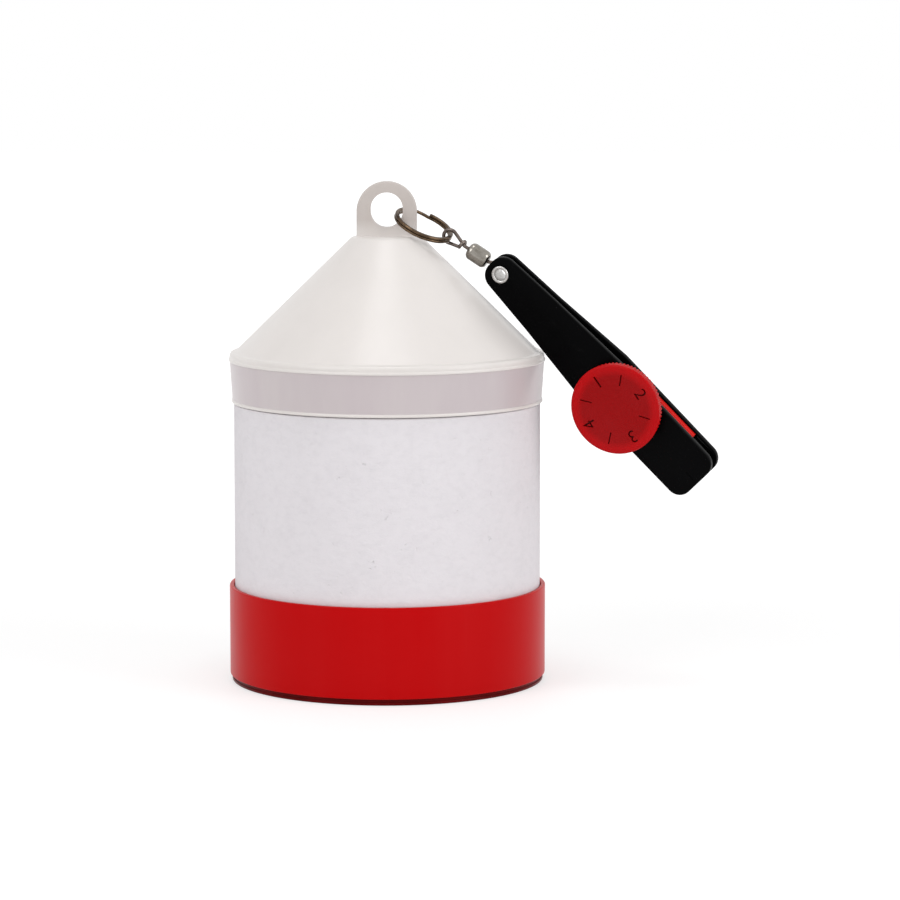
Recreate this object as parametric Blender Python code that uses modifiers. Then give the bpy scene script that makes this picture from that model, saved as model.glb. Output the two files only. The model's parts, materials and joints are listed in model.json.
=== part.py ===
"""Tuna float with a line release clip: a foam cylinder between a red cup and a white
cone cap, with a split ring, a barrel swivel and a two-legged clip on the cap's eye.

Metres, +Z up. The origin is the middle of the cup's flat base, and the cap's lug lies in
the XZ plane, with the clip on the +X side.
"""

import math

import bmesh
import bpy
from mathutils import Euler, Matrix, Vector

# Fits
SEAT_GAP = 0.0003
HANG_GAP = 0.0002
FINE_GAP = 0.00015
HEAD_STEP = 0.0001
TURN_STEPS = 56
SMALL_TURN_STEPS = 18
LOOP_STEPS = 20
WRAP_STEPS = 12
SPRING_STEPS = 16
RING_STEP = math.radians(8.0)

# Cup, foam and cap
FOAM_RADIUS = 0.0509
FOAM_SHOWING = 0.0612
MOULD_WALL = 0.0015
CUP_HEIGHT = 0.0319
CUP_RIM_FILLET = 0.0004
CUP_FOOT_HEIGHT = 0.0019
CUP_FOOT_INSET = 0.0011
CUP_FOOT_FILLET = 0.0005
COLLAR_HEIGHT = 0.0136
COLLAR_STEP = 0.0005
COLLAR_DRAFT = 0.0008
FLANGE_OVERHANG = 0.0004
FLANGE_THICKNESS = 0.0030
FLANGE_SHELF = 0.0022
FLANGE_FILLET = 0.0013
FLANGE_UNDER_FILLET = 0.0008
LIP_FILLET = 0.0004
CONE_HEIGHT = 0.0382
CONE_TOP_RADIUS = 0.0114
CONE_TOP_FILLET = 0.0012
CONE_ROOT_FILLET = 0.0006

# Lug on the cap
LUG_WIDTH = 0.0200
LUG_THICKNESS = 0.0044
LUG_HEIGHT = 0.0181
EYE_WIDTH = 0.0106
EYE_HEIGHT = 0.0115
EYE_ABOVE_CONE = 0.0087
LUG_ROOT = 0.0010
LUG_EDGE = 0.0005

# Split ring
RING_RADIUS = 0.01025
RING_WIRE_WIDTH = 0.0014
RING_WIRE_THICKNESS = 0.0009
RING_TURN_PITCH = 0.00096
RING_END_PLACE = math.radians(85.0)
RING_FLAT_TURN = math.radians(315.0)
RING_JOG_TURN = math.radians(40.0)
RING_DIP = math.radians(23.0)
RING_ROLL = math.radians(18.0)

# Barrel swivel
EYE_WIRE_RADIUS = 0.0006
UPPER_LOOP_RADIUS = 0.0023
UPPER_LOOP_NECK = 0.0052
LOWER_NECK_GAP = 0.00084
SHANK_WRAPS = 1.5
WRAP_PITCH = 0.001152
WRAP_SETBACK = 0.00072
WRAP_GAP = 0.00008
BARREL_START = 0.0076
BARREL_LENGTH = 0.0076
BARREL_RADIUS = 0.0030
BARREL_WALL = 0.0008
BARREL_CHAMFER = 0.0009
BARREL_END_FILLET = 0.0003
BARREL_SHOULDER_FILLET = 0.0005
HEAD_REACH = 0.0024
HEAD_RADIUS = 0.0011
HEAD_LENGTH = 0.0010
SWIVEL_LENGTH = 0.0216
SWIVEL_DIP = math.radians(5.5)
SWIVEL_YAW = math.radians(-15.0)

# Release clip
LEG_LENGTH = 0.0945
LEG_THICKNESS = 0.0033
LEG_GAP = 0.0030
LEG_HEAD_WIDTH = 0.0114
LEG_MIDDLE_WIDTH = 0.0190
LEG_TIP_WIDTH = 0.0184
LEG_TAPER_END = 0.0480
LEG_HEAD_END = 0.0050
LEG_TAPER_FILLET = 0.0200
LEG_HEAD_FILLET = 0.0046
LEG_TIP_FILLET = 0.0046
LEG_EDGE = 0.0005
LAND_START = 0.0072
LAND_LENGTH = 0.0104
LAND_WIDTH = 0.0100
RIB_PLACE = 0.0378
RIB_LENGTH = 0.0026
RIB_INSET = 0.0010
LEAD_IN_LENGTH = 0.0110
LEAD_IN_DEPTH = 0.0010
PAD_START = 0.0620
PAD_LENGTH = 0.0204
PAD_WIDTH = 0.0172
PAD_POCKET = 0.0006

# Eyelet that pins the swivel's lower eye between the legs
EYELET_BORE_RADIUS = 0.00175
EYELET_WALL = 0.00035
EYELET_FLANGE_RADIUS = 0.00295
EYELET_FLANGE_THICKNESS = 0.0006
EYELET_SEAT_FILLET = 0.0001

# Tension knob, screw and spring
KNOB_PLACE = 0.0583
KNOB_RADIUS = 0.0152
KNOB_THICKNESS = 0.0046
KNOB_STANDOFF = 0.0023
KNOB_BODY_INSET = 0.00064
KNOB_RECESS = 0.00115
KNOB_CROWN = 0.0009
KNOB_CROWN_WIDTH = 0.0018
KNOB_CROWN_FILLET = 0.0030
KNOB_SHOULDER_FILLET = 0.0008
KNOB_BASE_FILLET = 0.0004
KNOB_DISH = 0.0006
KNOB_DISH_RISE = 0.00012
KNOB_DISH_SPREAD = 0.55
KNOB_KNURL_DEPTH = 0.0004
KNOB_KNURL_HEIGHT = 0.0026
KNOB_KNURL_ROOT = 0.9
KNOB_TEETH = 60
SCREW_RADIUS = 0.0019
SCREW_HEAD_RADIUS = 0.0040
SCREW_HEAD_HEIGHT = 0.0026
SCREW_HEAD_POCKET = 0.0016
SCREW_SWAY = 0.0006
INSERT_WALL = 0.0012
INSERT_LENGTH = 0.0022
SPRING_SEAT_RADIUS = 0.0045
SPRING_SEAT_DEPTH = 0.0006
SPRING_WIRE_RADIUS = 0.00035
SPRING_RADIUS = 0.0034
SPRING_TURNS = 2.4

# Heights that follow from the sizes above
LIP_HEIGHT = CUP_HEIGHT + FOAM_SHOWING
FLANGE_HEIGHT = LIP_HEIGHT + COLLAR_HEIGHT
SHELF_HEIGHT = FLANGE_HEIGHT + FLANGE_THICKNESS
CONE_TOP_HEIGHT = SHELF_HEIGHT + CONE_HEIGHT
EYE_CENTRE_HEIGHT = CONE_TOP_HEIGHT + EYE_ABOVE_CONE
COLLAR_RADIUS = FOAM_RADIUS + COLLAR_STEP
FLANGE_RADIUS = COLLAR_RADIUS + COLLAR_DRAFT + FLANGE_OVERHANG
LEG_INNER = LEG_GAP / 2
LEG_OUTER = LEG_INNER + LEG_THICKNESS
LEG_OVERLAP = LEG_THICKNESS / 3
KNOB_BASE = LEG_OUTER + KNOB_STANDOFF
RING_WIRE_CENTRE = RING_RADIUS - RING_WIRE_WIDTH / 2


def clear_scene():
    """Removes the objects of the file that the script runs in."""
    for old in list(bpy.data.objects):
        bpy.data.objects.remove(old, do_unlink=True)


def collection(name):
    """A new collection linked to the scene."""
    made = bpy.data.collections.new(name)
    bpy.context.scene.collection.children.link(made)
    return made


def finish(name, colour, roughness, metallic=0.0):
    """A Principled BSDF material."""
    made = bpy.data.materials.new(name)
    made.use_nodes = True
    shader = made.node_tree.nodes["Principled BSDF"]
    shader.inputs["Base Color"].default_value = (*colour, 1.0)
    shader.inputs["Roughness"].default_value = roughness
    shader.inputs["Metallic"].default_value = metallic
    return made


def place(made, group, parent=None, material=None):
    """Links an object to a collection, a parent and a material."""
    group.objects.link(made)
    made.parent = parent
    if material:
        made.data.materials.append(material)
    return made


def guide(made, group, parent=None):
    """Links a cutter or a guide, which the model leaves out."""
    place(made, group, parent)
    made.hide_render = True
    made.display_type = "WIRE"
    return made


def frame(name, parent=None, location=(0, 0, 0), turn=(0, 0, 0), order="XYZ"):
    """An empty that carries the pieces of one moving body, on its joint's axis."""
    made = bpy.data.objects.new(name, None)
    parts.objects.link(made)
    made.parent = parent
    made.location = location
    made.rotation_mode = order
    made.rotation_euler = turn
    return made


def arc(centre, radius, start, end, steps):
    """Points along an arc, angles in degrees."""
    angles = [math.radians(start + (end - start) * i / steps) for i in range(steps + 1)]
    return [(centre[0] + radius * math.cos(a), centre[1] + radius * math.sin(a)) for a in angles]


def rounded(corners, closed=False, steps=3):
    """A path through (x, y, fillet radius) corners, with each fillet drawn as short chords."""
    path = []
    last = len(corners) - 1
    for i, (x, y, fillet) in enumerate(corners):
        here = Vector((x, y))
        if fillet == 0 or (not closed and i in (0, last)):
            path.append((x, y))
            continue
        back = (Vector(corners[i - 1][:2]) - here).normalized()
        ahead = (Vector(corners[(i + 1) % len(corners)][:2]) - here).normalized()
        half = back.angle(ahead) / 2
        reach = fillet / math.tan(half)
        middle = here + (back + ahead).normalized() * fillet / math.sin(half)
        first = here + back * reach - middle
        final = here + ahead * reach - middle
        sweep = first.angle_signed(final)
        for k in range(steps + 1):
            spoke = Matrix.Rotation(-sweep * k / steps, 2) @ first
            path.append(tuple(middle + spoke))
    return path


def smooth(mesh, angle=35.0):
    """Shades a mesh smooth, with edges sharper than the angle left sharp."""
    mesh.shade_smooth()
    mesh.set_sharp_from_angle(angle=math.radians(angle))
    return mesh


def turned(name, profile, closed=False, steps=TURN_STEPS):
    """An object whose (radius, height) profile a Screw modifier turns round local Z."""
    mesh = bpy.data.meshes.new(name)
    shape = bmesh.new()
    verts = [shape.verts.new((radius, 0, height)) for radius, height in profile]
    for a, b in zip(verts, verts[1:]):
        shape.edges.new((a, b))
    if closed:
        shape.edges.new((verts[-1], verts[0]))
    shape.to_mesh(mesh)
    shape.free()
    made = bpy.data.objects.new(name, mesh)
    screw = made.modifiers.new("Turn", "SCREW")
    screw.steps = steps
    screw.render_steps = steps
    screw.use_merge_vertices = True
    screw.merge_threshold = 0.00001
    screw.use_smooth_shade = True
    weld = made.modifiers.new("Poles", "WELD")
    weld.merge_threshold = 0.00001
    return made


def from_curve(name, curve):
    """A mesh object from a curve's evaluated shape, with its caps welded."""
    temporary = bpy.data.objects.new(name + "_curve", curve)
    bpy.context.scene.collection.objects.link(temporary)
    bpy.context.view_layer.update()
    graph = bpy.context.evaluated_depsgraph_get()
    mesh = bpy.data.meshes.new_from_object(temporary.evaluated_get(graph))
    bpy.data.objects.remove(temporary, do_unlink=True)
    shape = bmesh.new()
    shape.from_mesh(mesh)
    bmesh.ops.remove_doubles(shape, verts=shape.verts, dist=0.000002)
    bmesh.ops.recalc_face_normals(shape, faces=shape.faces)
    shape.to_mesh(mesh)
    shape.free()
    mesh.name = name
    return bpy.data.objects.new(name, smooth(mesh))


def plate(name, outline, low, high, edge=0.0):
    """A flat plate between two heights, with its outline's edges rounded over."""
    curve = bpy.data.curves.new(name, "CURVE")
    curve.dimensions = "2D"
    curve.fill_mode = "BOTH"
    curve.extrude = (high - low) / 2 - edge
    curve.bevel_depth = edge
    curve.bevel_resolution = 1
    curve.offset = -edge
    spline = curve.splines.new("POLY")
    spline.points.add(len(outline) - 1)
    for point, (x, y) in zip(spline.points, outline):
        point.co = (x, y, 0, 1)
    spline.use_cyclic_u = True
    made = from_curve(name, curve)
    made.data.transform(Matrix.Translation((0, 0, (low + high) / 2)))
    return made


def wire(name, points, radius, scales=None, sides=2, section=None):
    """A wire along points: round, or with the section of a guide curve."""
    curve = bpy.data.curves.new(name, "CURVE")
    curve.dimensions = "3D"
    curve.use_fill_caps = True
    curve.twist_mode = "Z_UP" if section else "MINIMUM"
    if section:
        curve.bevel_mode = "OBJECT"
        curve.bevel_object = section
    else:
        curve.bevel_depth = radius
        curve.bevel_resolution = sides
    spline = curve.splines.new("POLY")
    spline.points.add(len(points) - 1)
    for i, place_of in enumerate(points):
        spline.points[i].co = (*place_of, 1)
        if scales:
            spline.points[i].radius = scales[i]
    return from_curve(name, curve)


def cylinder(name, radius, low, high, x=0.0, y=0.0, sides=SMALL_TURN_STEPS):
    """A closed cylinder along local Z."""
    mesh = bpy.data.meshes.new(name)
    shape = bmesh.new()
    bmesh.ops.create_cone(
        shape, cap_ends=True, segments=sides, radius1=radius, radius2=radius, depth=high - low
    )
    bmesh.ops.translate(shape, verts=shape.verts, vec=(x, y, (low + high) / 2))
    shape.to_mesh(mesh)
    shape.free()
    return bpy.data.objects.new(name, smooth(mesh))


def block(name, low, high):
    """A closed box between two corners."""
    mesh = bpy.data.meshes.new(name)
    shape = bmesh.new()
    bmesh.ops.create_cube(shape, size=1.0)
    size = [b - a for a, b in zip(low, high)]
    bmesh.ops.scale(shape, verts=shape.verts, vec=size)
    middle = [(a + b) / 2 for a, b in zip(low, high)]
    bmesh.ops.translate(shape, verts=shape.verts, vec=middle)
    shape.to_mesh(mesh)
    shape.free()
    return bpy.data.objects.new(name, mesh)


def combine(body, tool, operation):
    """Adds or cuts a tool, which is kept as a guide beside the body."""
    guide(tool, cutters, body.parent)
    step = body.modifiers.new(tool.name, "BOOLEAN")
    step.operation = operation
    step.object = tool
    return body


def cut(body, tool):
    """Cuts a tool from the body."""
    return combine(body, tool, "DIFFERENCE")


def join(body, tool):
    """Unites a tool with the body."""
    return combine(body, tool, "UNION")


def build_cup():
    """The red moulded cup, with a plain foot set in from its wall."""
    inner = FOAM_RADIUS + SEAT_GAP
    outer = inner + MOULD_WALL
    foot = outer - CUP_FOOT_INSET
    profile = rounded(
        [
            (inner, CUP_HEIGHT, 0),
            (outer, CUP_HEIGHT, CUP_RIM_FILLET),
            (outer, CUP_FOOT_HEIGHT, CUP_FOOT_FILLET),
            (foot, CUP_FOOT_HEIGHT, 0),
            (foot, 0, CUP_FOOT_FILLET),
            (0, 0, 0),
        ]
    )
    floor = [
        (0, MOULD_WALL),
        (foot - MOULD_WALL, MOULD_WALL),
        (foot - MOULD_WALL, CUP_FOOT_HEIGHT + MOULD_WALL),
        (inner, CUP_FOOT_HEIGHT + MOULD_WALL),
    ]
    cup = turned("base_cup", profile + floor, closed=True)
    return place(cup, parts, None, RED_PLASTIC)


def cone_radius(height):
    """The cone's outer radius at a height."""
    share = (height - SHELF_HEIGHT) / CONE_HEIGHT
    base = FLANGE_RADIUS - FLANGE_SHELF
    return base + (CONE_TOP_RADIUS - base) * share


def build_foam():
    """The white foam core: a cylinder, stepped for the collar and coned to carry the cap."""
    foot = FOAM_RADIUS - CUP_FOOT_INSET
    step = CUP_FOOT_HEIGHT + MOULD_WALL + SEAT_GAP
    neck = COLLAR_RADIUS - MOULD_WALL - SEAT_GAP
    slant = (MOULD_WALL + SEAT_GAP) * math.sqrt(2)
    top = CONE_TOP_HEIGHT - slant
    profile = [
        (0, top - slant),
        (cone_radius(top), top - slant),
        (cone_radius(SHELF_HEIGHT) - slant / 2, SHELF_HEIGHT - slant / 2),
        (neck, FLANGE_HEIGHT - SEAT_GAP),
        (neck, LIP_HEIGHT - SEAT_GAP),
        (FOAM_RADIUS, LIP_HEIGHT - SEAT_GAP),
        (FOAM_RADIUS, step),
        (foot, step),
        (foot, MOULD_WALL + SEAT_GAP),
        (0, MOULD_WALL + SEAT_GAP),
    ]
    return place(turned("foam_core", profile), parts, None, WHITE_FOAM)


def build_cap():
    """The white moulded cap: cone, rounded flange, collar and the lug that carries the ring."""
    base = FLANGE_RADIUS - FLANGE_SHELF
    collar_top = COLLAR_RADIUS + COLLAR_DRAFT
    slant = MOULD_WALL * math.sqrt(2)
    outside = rounded(
        [
            (0, CONE_TOP_HEIGHT, 0),
            (CONE_TOP_RADIUS, CONE_TOP_HEIGHT, CONE_TOP_FILLET),
            (base, SHELF_HEIGHT, CONE_ROOT_FILLET),
            (FLANGE_RADIUS, SHELF_HEIGHT, FLANGE_FILLET),
            (FLANGE_RADIUS, FLANGE_HEIGHT, FLANGE_UNDER_FILLET),
            (collar_top, FLANGE_HEIGHT, 0),
            (COLLAR_RADIUS, LIP_HEIGHT, LIP_FILLET),
            (COLLAR_RADIUS - MOULD_WALL, LIP_HEIGHT, 0),
        ]
    )
    inside = [
        (collar_top - MOULD_WALL, FLANGE_HEIGHT),
        (cone_radius(SHELF_HEIGHT), SHELF_HEIGHT - slant),
        (cone_radius(CONE_TOP_HEIGHT - slant), CONE_TOP_HEIGHT - slant * 2),
        (0, CONE_TOP_HEIGHT - slant * 2),
    ]
    cap = place(turned("cone_cap", outside + inside), parts, None, WHITE_PLASTIC)
    half = LUG_WIDTH / 2
    root = CONE_TOP_HEIGHT - LUG_ROOT
    crown = arc((0, CONE_TOP_HEIGHT + LUG_HEIGHT - half), half, 0, 180, 16)
    lug = plate("lug", [(half, root)] + crown + [(-half, root)], 0, LUG_THICKNESS, LUG_EDGE)
    upright = Matrix.Rotation(math.pi / 2, 4, "X")
    centre = Matrix.Translation((0, LUG_THICKNESS / 2, 0))
    lug.data.transform(centre @ upright)
    join(cap, lug)
    straight = (EYE_HEIGHT - EYE_WIDTH) / 2
    upper = arc((0, EYE_CENTRE_HEIGHT + straight), EYE_WIDTH / 2, 0, 180, 14)
    lower = arc((0, EYE_CENTRE_HEIGHT - straight), EYE_WIDTH / 2, 180, 360, 14)
    eye = plate("eye", upper + lower, 0, LUG_THICKNESS * 2)
    eye.data.transform(Matrix.Translation((0, LUG_THICKNESS, 0)) @ upright)
    return cut(cap, eye)


def ring_turn():
    """The ring's turn from the float's axes: its x dips away from the lug, its z is its normal."""
    return Euler((RING_ROLL, RING_DIP, 0)).to_matrix()


def eye_clearance(reach):
    """How far the ring's inner edges stay from the eye's wall, for a ring at a reach from it."""
    inside = RING_RADIUS - RING_WIRE_WIDTH
    half_height = (RING_TURN_PITCH + RING_WIRE_THICKNESS) / 2
    nearest = EYE_WIDTH
    for step in range(-24, 25):
        angle = math.pi + math.radians(step * 2)
        for height in (-half_height, half_height):
            edge = Vector((reach + inside * math.cos(angle), inside * math.sin(angle), height))
            seen = ring_turn() @ edge
            if abs(seen.y) < LUG_THICKNESS / 2 + HANG_GAP:
                nearest = min(nearest, EYE_WIDTH / 2 - math.hypot(seen.x, seen.z))
    return nearest


def ring_centre():
    """How far from the eye's centre the ring hangs, its near side just inside the eye's wall."""
    low, high = RING_RADIUS, RING_RADIUS + EYE_WIDTH
    for _ in range(30):
        middle = (low + high) / 2
        if eye_clearance(middle) > HANG_GAP:
            low = middle
        else:
            high = middle
    return low


def build_ring(axes):
    """The split ring: two turns of flat wire, a sliver of air between them."""
    half_width = RING_WIRE_WIDTH / 2
    half_height = RING_WIRE_THICKNESS / 2
    section_curve = bpy.data.curves.new("ring_section", "CURVE")
    section_curve.dimensions = "2D"
    edge = section_curve.splines.new("POLY")
    edge.points.add(3)
    signs = [(1, 1), (-1, 1), (-1, -1), (1, -1)]
    for point, (side, level) in zip(edge.points, signs):
        point.co = (side * half_width, level * half_height, 0, 1)
    edge.use_cyclic_u = True
    section = bpy.data.objects.new("ring_section", section_curve)
    guide(section, cutters)
    turn = RING_FLAT_TURN * 2 + RING_JOG_TURN
    count = round(turn / RING_STEP)
    coil = []
    for i in range(count + 1):
        angle = turn * i / count
        climb = min(max((angle - RING_FLAT_TURN) / RING_JOG_TURN, 0.0), 1.0)
        rise = RING_TURN_PITCH * (climb - 0.5)
        angle += RING_END_PLACE - turn
        coil.append((RING_WIRE_CENTRE * math.cos(angle), RING_WIRE_CENTRE * math.sin(angle), rise))
    ring = wire("split_ring", coil, 0, section=section)
    return place(ring, parts, axes, DARK_STEEL)


def eye_path(loop, neck, shank_end):
    """A wire eye in the XZ plane: from the head in the barrel, round the loop, to the neck."""
    opening = math.degrees(math.acos(loop / neck))
    shank = [(shank_end, 0), (shank_end - HEAD_LENGTH, 0), (neck + EYE_WIRE_RADIUS, 0)]
    loop_points = arc((0, 0), loop, opening, 360 - opening, LOOP_STEPS)
    return [(x, 0, z) for x, z in shank + loop_points]


def head_scales(count):
    """Wire thickness factors that upset the wire's first end into a round head."""
    swollen = HEAD_RADIUS / EYE_WIRE_RADIUS
    return [swollen, swollen] + [1.0] * (count - 2)


def with_head(path):
    """Repeats the shank's point behind the head, so the head ends in a short step."""
    x, y, z = path[1]
    inward = math.copysign(HEAD_STEP, path[2][0] - x)
    return [path[0], path[1], (x + inward, y, z)] + path[2:]


def build_upper_eye(axes):
    """The swivel's upper eye: a loop on the ring, its tail wrapped round its own shank."""
    path = with_head(eye_path(UPPER_LOOP_RADIUS, UPPER_LOOP_NECK, BARREL_START + HEAD_REACH))
    wrap = EYE_WIRE_RADIUS * 2 + WRAP_GAP
    for i in range(round(SHANK_WRAPS * WRAP_STEPS) + 1):
        angle = -math.pi / 2 - 2 * math.pi * i / WRAP_STEPS
        x = UPPER_LOOP_NECK - WRAP_SETBACK + WRAP_PITCH * i / WRAP_STEPS
        path.append((x, wrap * math.cos(angle), wrap * math.sin(angle)))
    eye = wire("swivel_upper_eye", path, EYE_WIRE_RADIUS, head_scales(len(path)))
    return place(eye, parts, axes, BRIGHT_STEEL)


def build_barrel(axes):
    """The swivel's hollow barrel, necked at both ends round the eyes' shanks."""
    neck = EYE_WIRE_RADIUS + FINE_GAP
    inner = BARREL_RADIUS - BARREL_WALL
    length = BARREL_LENGTH
    outside = rounded(
        [
            (neck, length, 0),
            (BARREL_RADIUS - BARREL_CHAMFER, length, BARREL_END_FILLET),
            (BARREL_RADIUS, length - BARREL_CHAMFER, BARREL_SHOULDER_FILLET),
            (BARREL_RADIUS, BARREL_CHAMFER, BARREL_SHOULDER_FILLET),
            (BARREL_RADIUS - BARREL_CHAMFER, 0, BARREL_END_FILLET),
            (neck, 0, 0),
        ],
        steps=2,
    )
    inside = [
        (neck, BARREL_WALL),
        (inner - BARREL_CHAMFER, BARREL_WALL),
        (inner, BARREL_WALL + BARREL_CHAMFER),
        (inner, length - BARREL_WALL - BARREL_CHAMFER),
        (inner - BARREL_CHAMFER, length - BARREL_WALL),
        (neck, length - BARREL_WALL),
    ]
    barrel = turned("swivel_barrel", outside + inside, closed=True, steps=SMALL_TURN_STEPS)
    barrel.rotation_euler = (0, math.pi / 2, 0)
    return place(barrel, parts, axes, BRIGHT_STEEL)


def build_lower_eye(axes):
    """The swivel's lower eye, round the clip's eyelet."""
    barrel_end = SWIVEL_LENGTH - BARREL_START - BARREL_LENGTH
    loop = EYELET_BORE_RADIUS + EYELET_WALL + SEAT_GAP + EYE_WIRE_RADIUS
    neck = barrel_end - LOWER_NECK_GAP
    path = with_head(eye_path(loop, neck, barrel_end + HEAD_REACH))
    mirrored = [(-x, y, z) for x, y, z in path]
    eye = wire("swivel_lower_eye", mirrored, EYE_WIRE_RADIUS, head_scales(len(path)))
    return place(eye, parts, axes, BRIGHT_STEEL)


def leg_outline():
    """The legs' outline: round head, straight taper, wide jaw with rounded corners."""
    head, middle, tip = LEG_HEAD_WIDTH / 2, LEG_MIDDLE_WIDTH / 2, LEG_TIP_WIDTH / 2
    return rounded(
        [
            (-LEG_HEAD_END, -head, LEG_HEAD_FILLET),
            (LEG_TAPER_END, -middle, LEG_TAPER_FILLET),
            (LEG_LENGTH, -tip, LEG_TIP_FILLET),
            (LEG_LENGTH, tip, LEG_TIP_FILLET),
            (LEG_TAPER_END, middle, LEG_TAPER_FILLET),
            (-LEG_HEAD_END, head, LEG_HEAD_FILLET),
        ],
        closed=True,
        steps=5,
    )


def pad_block(name, low, high, margin=0.0):
    """A box with the grip pads' outline, grown by a margin."""
    half = PAD_WIDTH / 2 + margin
    return block(
        name,
        (PAD_START - margin, -half, low),
        (PAD_START + PAD_LENGTH + margin, half, high),
    )


def lead_in(name):
    """A wedge that opens the jaw towards the tip, as a cutter on the upper leg."""
    wedge = block(name, (0, -LEG_MIDDLE_WIDTH, -LEG_GAP), (LEAD_IN_LENGTH * 2, LEG_MIDDLE_WIDTH, 0))
    lean = Matrix.Rotation(-math.atan2(LEAD_IN_DEPTH, LEAD_IN_LENGTH), 4, "Y")
    start = Matrix.Translation((LEG_LENGTH - LEAD_IN_LENGTH, 0, LEG_INNER))
    wedge.data.transform(start @ lean)
    return wedge


def leg_blank(name, axes):
    """A leg on the +Z side: plate, fulcrum land, pad pocket, lead-in and the eyelet's hole."""
    leg = place(plate(name, leg_outline(), LEG_INNER, LEG_OUTER, LEG_EDGE), parts, axes, BLACK_NYLON)
    half = LAND_WIDTH / 2
    low = (LAND_START, -half, FINE_GAP)
    high = (LAND_START + LAND_LENGTH, half, LEG_INNER + LEG_OVERLAP)
    join(leg, block(name + "_land", low, high))
    cut(leg, pad_block(name + "_pocket", 0, LEG_INNER + PAD_POCKET, FINE_GAP))
    cut(leg, lead_in(name + "_lead_in"))
    pin = EYELET_BORE_RADIUS + EYELET_WALL + FINE_GAP * 2
    cut(leg, cylinder(name + "_eyelet_hole", pin, 0, LEG_OUTER * 2))
    return leg


def flip(leg):
    """Turns a leg's mesh and its cutters' over, to the -Z side of the gap."""
    over = Matrix.Scale(-1, 4, (0, 0, 1))
    for made in [leg] + [step.object for step in leg.modifiers]:
        made.data.transform(over)
        made.data.flip_normals()
    return leg


def build_front_leg(axes):
    """The leg under the knob, with the screw's hole and the spring's seat."""
    leg = leg_blank("front_leg", axes)
    cut(leg, cylinder("front_screw_hole", SCREW_RADIUS + SCREW_SWAY, 0, KNOB_BASE, KNOB_PLACE))
    seat = LEG_OUTER - SPRING_SEAT_DEPTH
    return cut(leg, cylinder("spring_seat", SPRING_SEAT_RADIUS, seat, KNOB_BASE, KNOB_PLACE))


def build_rear_leg(axes):
    """The leg that opens, with the line's stop rib and the screw head's pocket."""
    leg = leg_blank("rear_leg", axes)
    half = LEG_HEAD_WIDTH / 2 + RIB_INSET
    low = (RIB_PLACE, -half, -LEG_INNER + SEAT_GAP)
    high = (RIB_PLACE + RIB_LENGTH, half, LEG_INNER + LEG_OVERLAP)
    join(leg, block("stop_rib", low, high))
    cut(leg, cylinder("rear_screw_hole", SCREW_RADIUS + FINE_GAP, 0, LEG_OUTER * 2, KNOB_PLACE))
    pocket = LEG_OUTER - SCREW_HEAD_POCKET
    radius = SCREW_HEAD_RADIUS + SEAT_GAP
    cut(leg, cylinder("screw_head_pocket", radius, pocket, LEG_OUTER * 2, KNOB_PLACE))
    return flip(leg)


def build_pad(name, side, axes):
    """A grip pad in its leg's pocket, half a gap short of the other pad."""
    pad = pad_block(name, FINE_GAP, LEG_INNER + PAD_POCKET - FINE_GAP)
    if side < 0:
        pad.data.transform(Matrix.Scale(-1, 4, (0, 0, 1)))
        pad.data.flip_normals()
    return place(pad, parts, axes, RED_RUBBER)


def build_eyelet(axes):
    """The hollow rivet through the legs' heads, rolled over both outer faces."""
    outer = EYELET_BORE_RADIUS + EYELET_WALL
    seat = LEG_OUTER + FINE_GAP
    face = seat + EYELET_FLANGE_THICKNESS
    edge = EYELET_FLANGE_THICKNESS / 2
    profile = rounded(
        [
            (EYELET_BORE_RADIUS, face, edge),
            (EYELET_FLANGE_RADIUS, face, edge),
            (EYELET_FLANGE_RADIUS, seat, EYELET_SEAT_FILLET),
            (outer, seat, 0),
            (outer, -seat, 0),
            (EYELET_FLANGE_RADIUS, -seat, EYELET_SEAT_FILLET),
            (EYELET_FLANGE_RADIUS, -face, edge),
            (EYELET_BORE_RADIUS, -face, edge),
        ],
        closed=True,
        steps=2,
    )
    eyelet = turned("eyelet", profile, closed=True, steps=SMALL_TURN_STEPS)
    return place(eyelet, parts, axes, BRIGHT_STEEL)


def knurl_outline(radius):
    """A toothed circle, a peak and a valley for each tooth."""
    outline = []
    for i in range(KNOB_TEETH * 2):
        angle = math.pi * i / KNOB_TEETH
        reach = radius if i % 2 == 0 else radius - KNOB_KNURL_DEPTH
        outline.append((reach * math.cos(angle), reach * math.sin(angle)))
    return outline


def build_knob(axes):
    """The red tension knob: dished face, knurled rim, recess for the spring and insert."""
    rim = KNOB_RADIUS - KNOB_BODY_INSET
    insert = SCREW_RADIUS + FINE_GAP + INSERT_WALL + FINE_GAP
    roof = KNOB_RECESS + INSERT_LENGTH + SEAT_GAP
    profile = rounded(
        [
            (0, KNOB_THICKNESS - KNOB_DISH, 0),
            (rim * KNOB_DISH_SPREAD, KNOB_THICKNESS - KNOB_DISH + KNOB_DISH_RISE, 0),
            (rim - KNOB_CROWN_WIDTH, KNOB_THICKNESS, KNOB_CROWN_FILLET),
            (rim, KNOB_THICKNESS - KNOB_CROWN, KNOB_SHOULDER_FILLET),
            (rim, 0, KNOB_BASE_FILLET),
            (SPRING_SEAT_RADIUS, 0, 0),
            (SPRING_SEAT_RADIUS, KNOB_RECESS, 0),
            (insert, KNOB_RECESS, 0),
            (insert, roof, 0),
            (0, roof, 0),
        ]
    )
    knob = place(turned("tension_knob", profile), parts, axes, RED_PLASTIC)
    low = (KNOB_THICKNESS - KNOB_CROWN - KNOB_KNURL_HEIGHT) / 2
    band = plate("knurl", knurl_outline(KNOB_RADIUS), low, low + KNOB_KNURL_HEIGHT)
    bore = cylinder("knurl_bore", rim * KNOB_KNURL_ROOT, -KNOB_THICKNESS, KNOB_THICKNESS * 2)
    band.parent = axes
    cut(band, bore)
    return join(knob, band)


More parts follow.
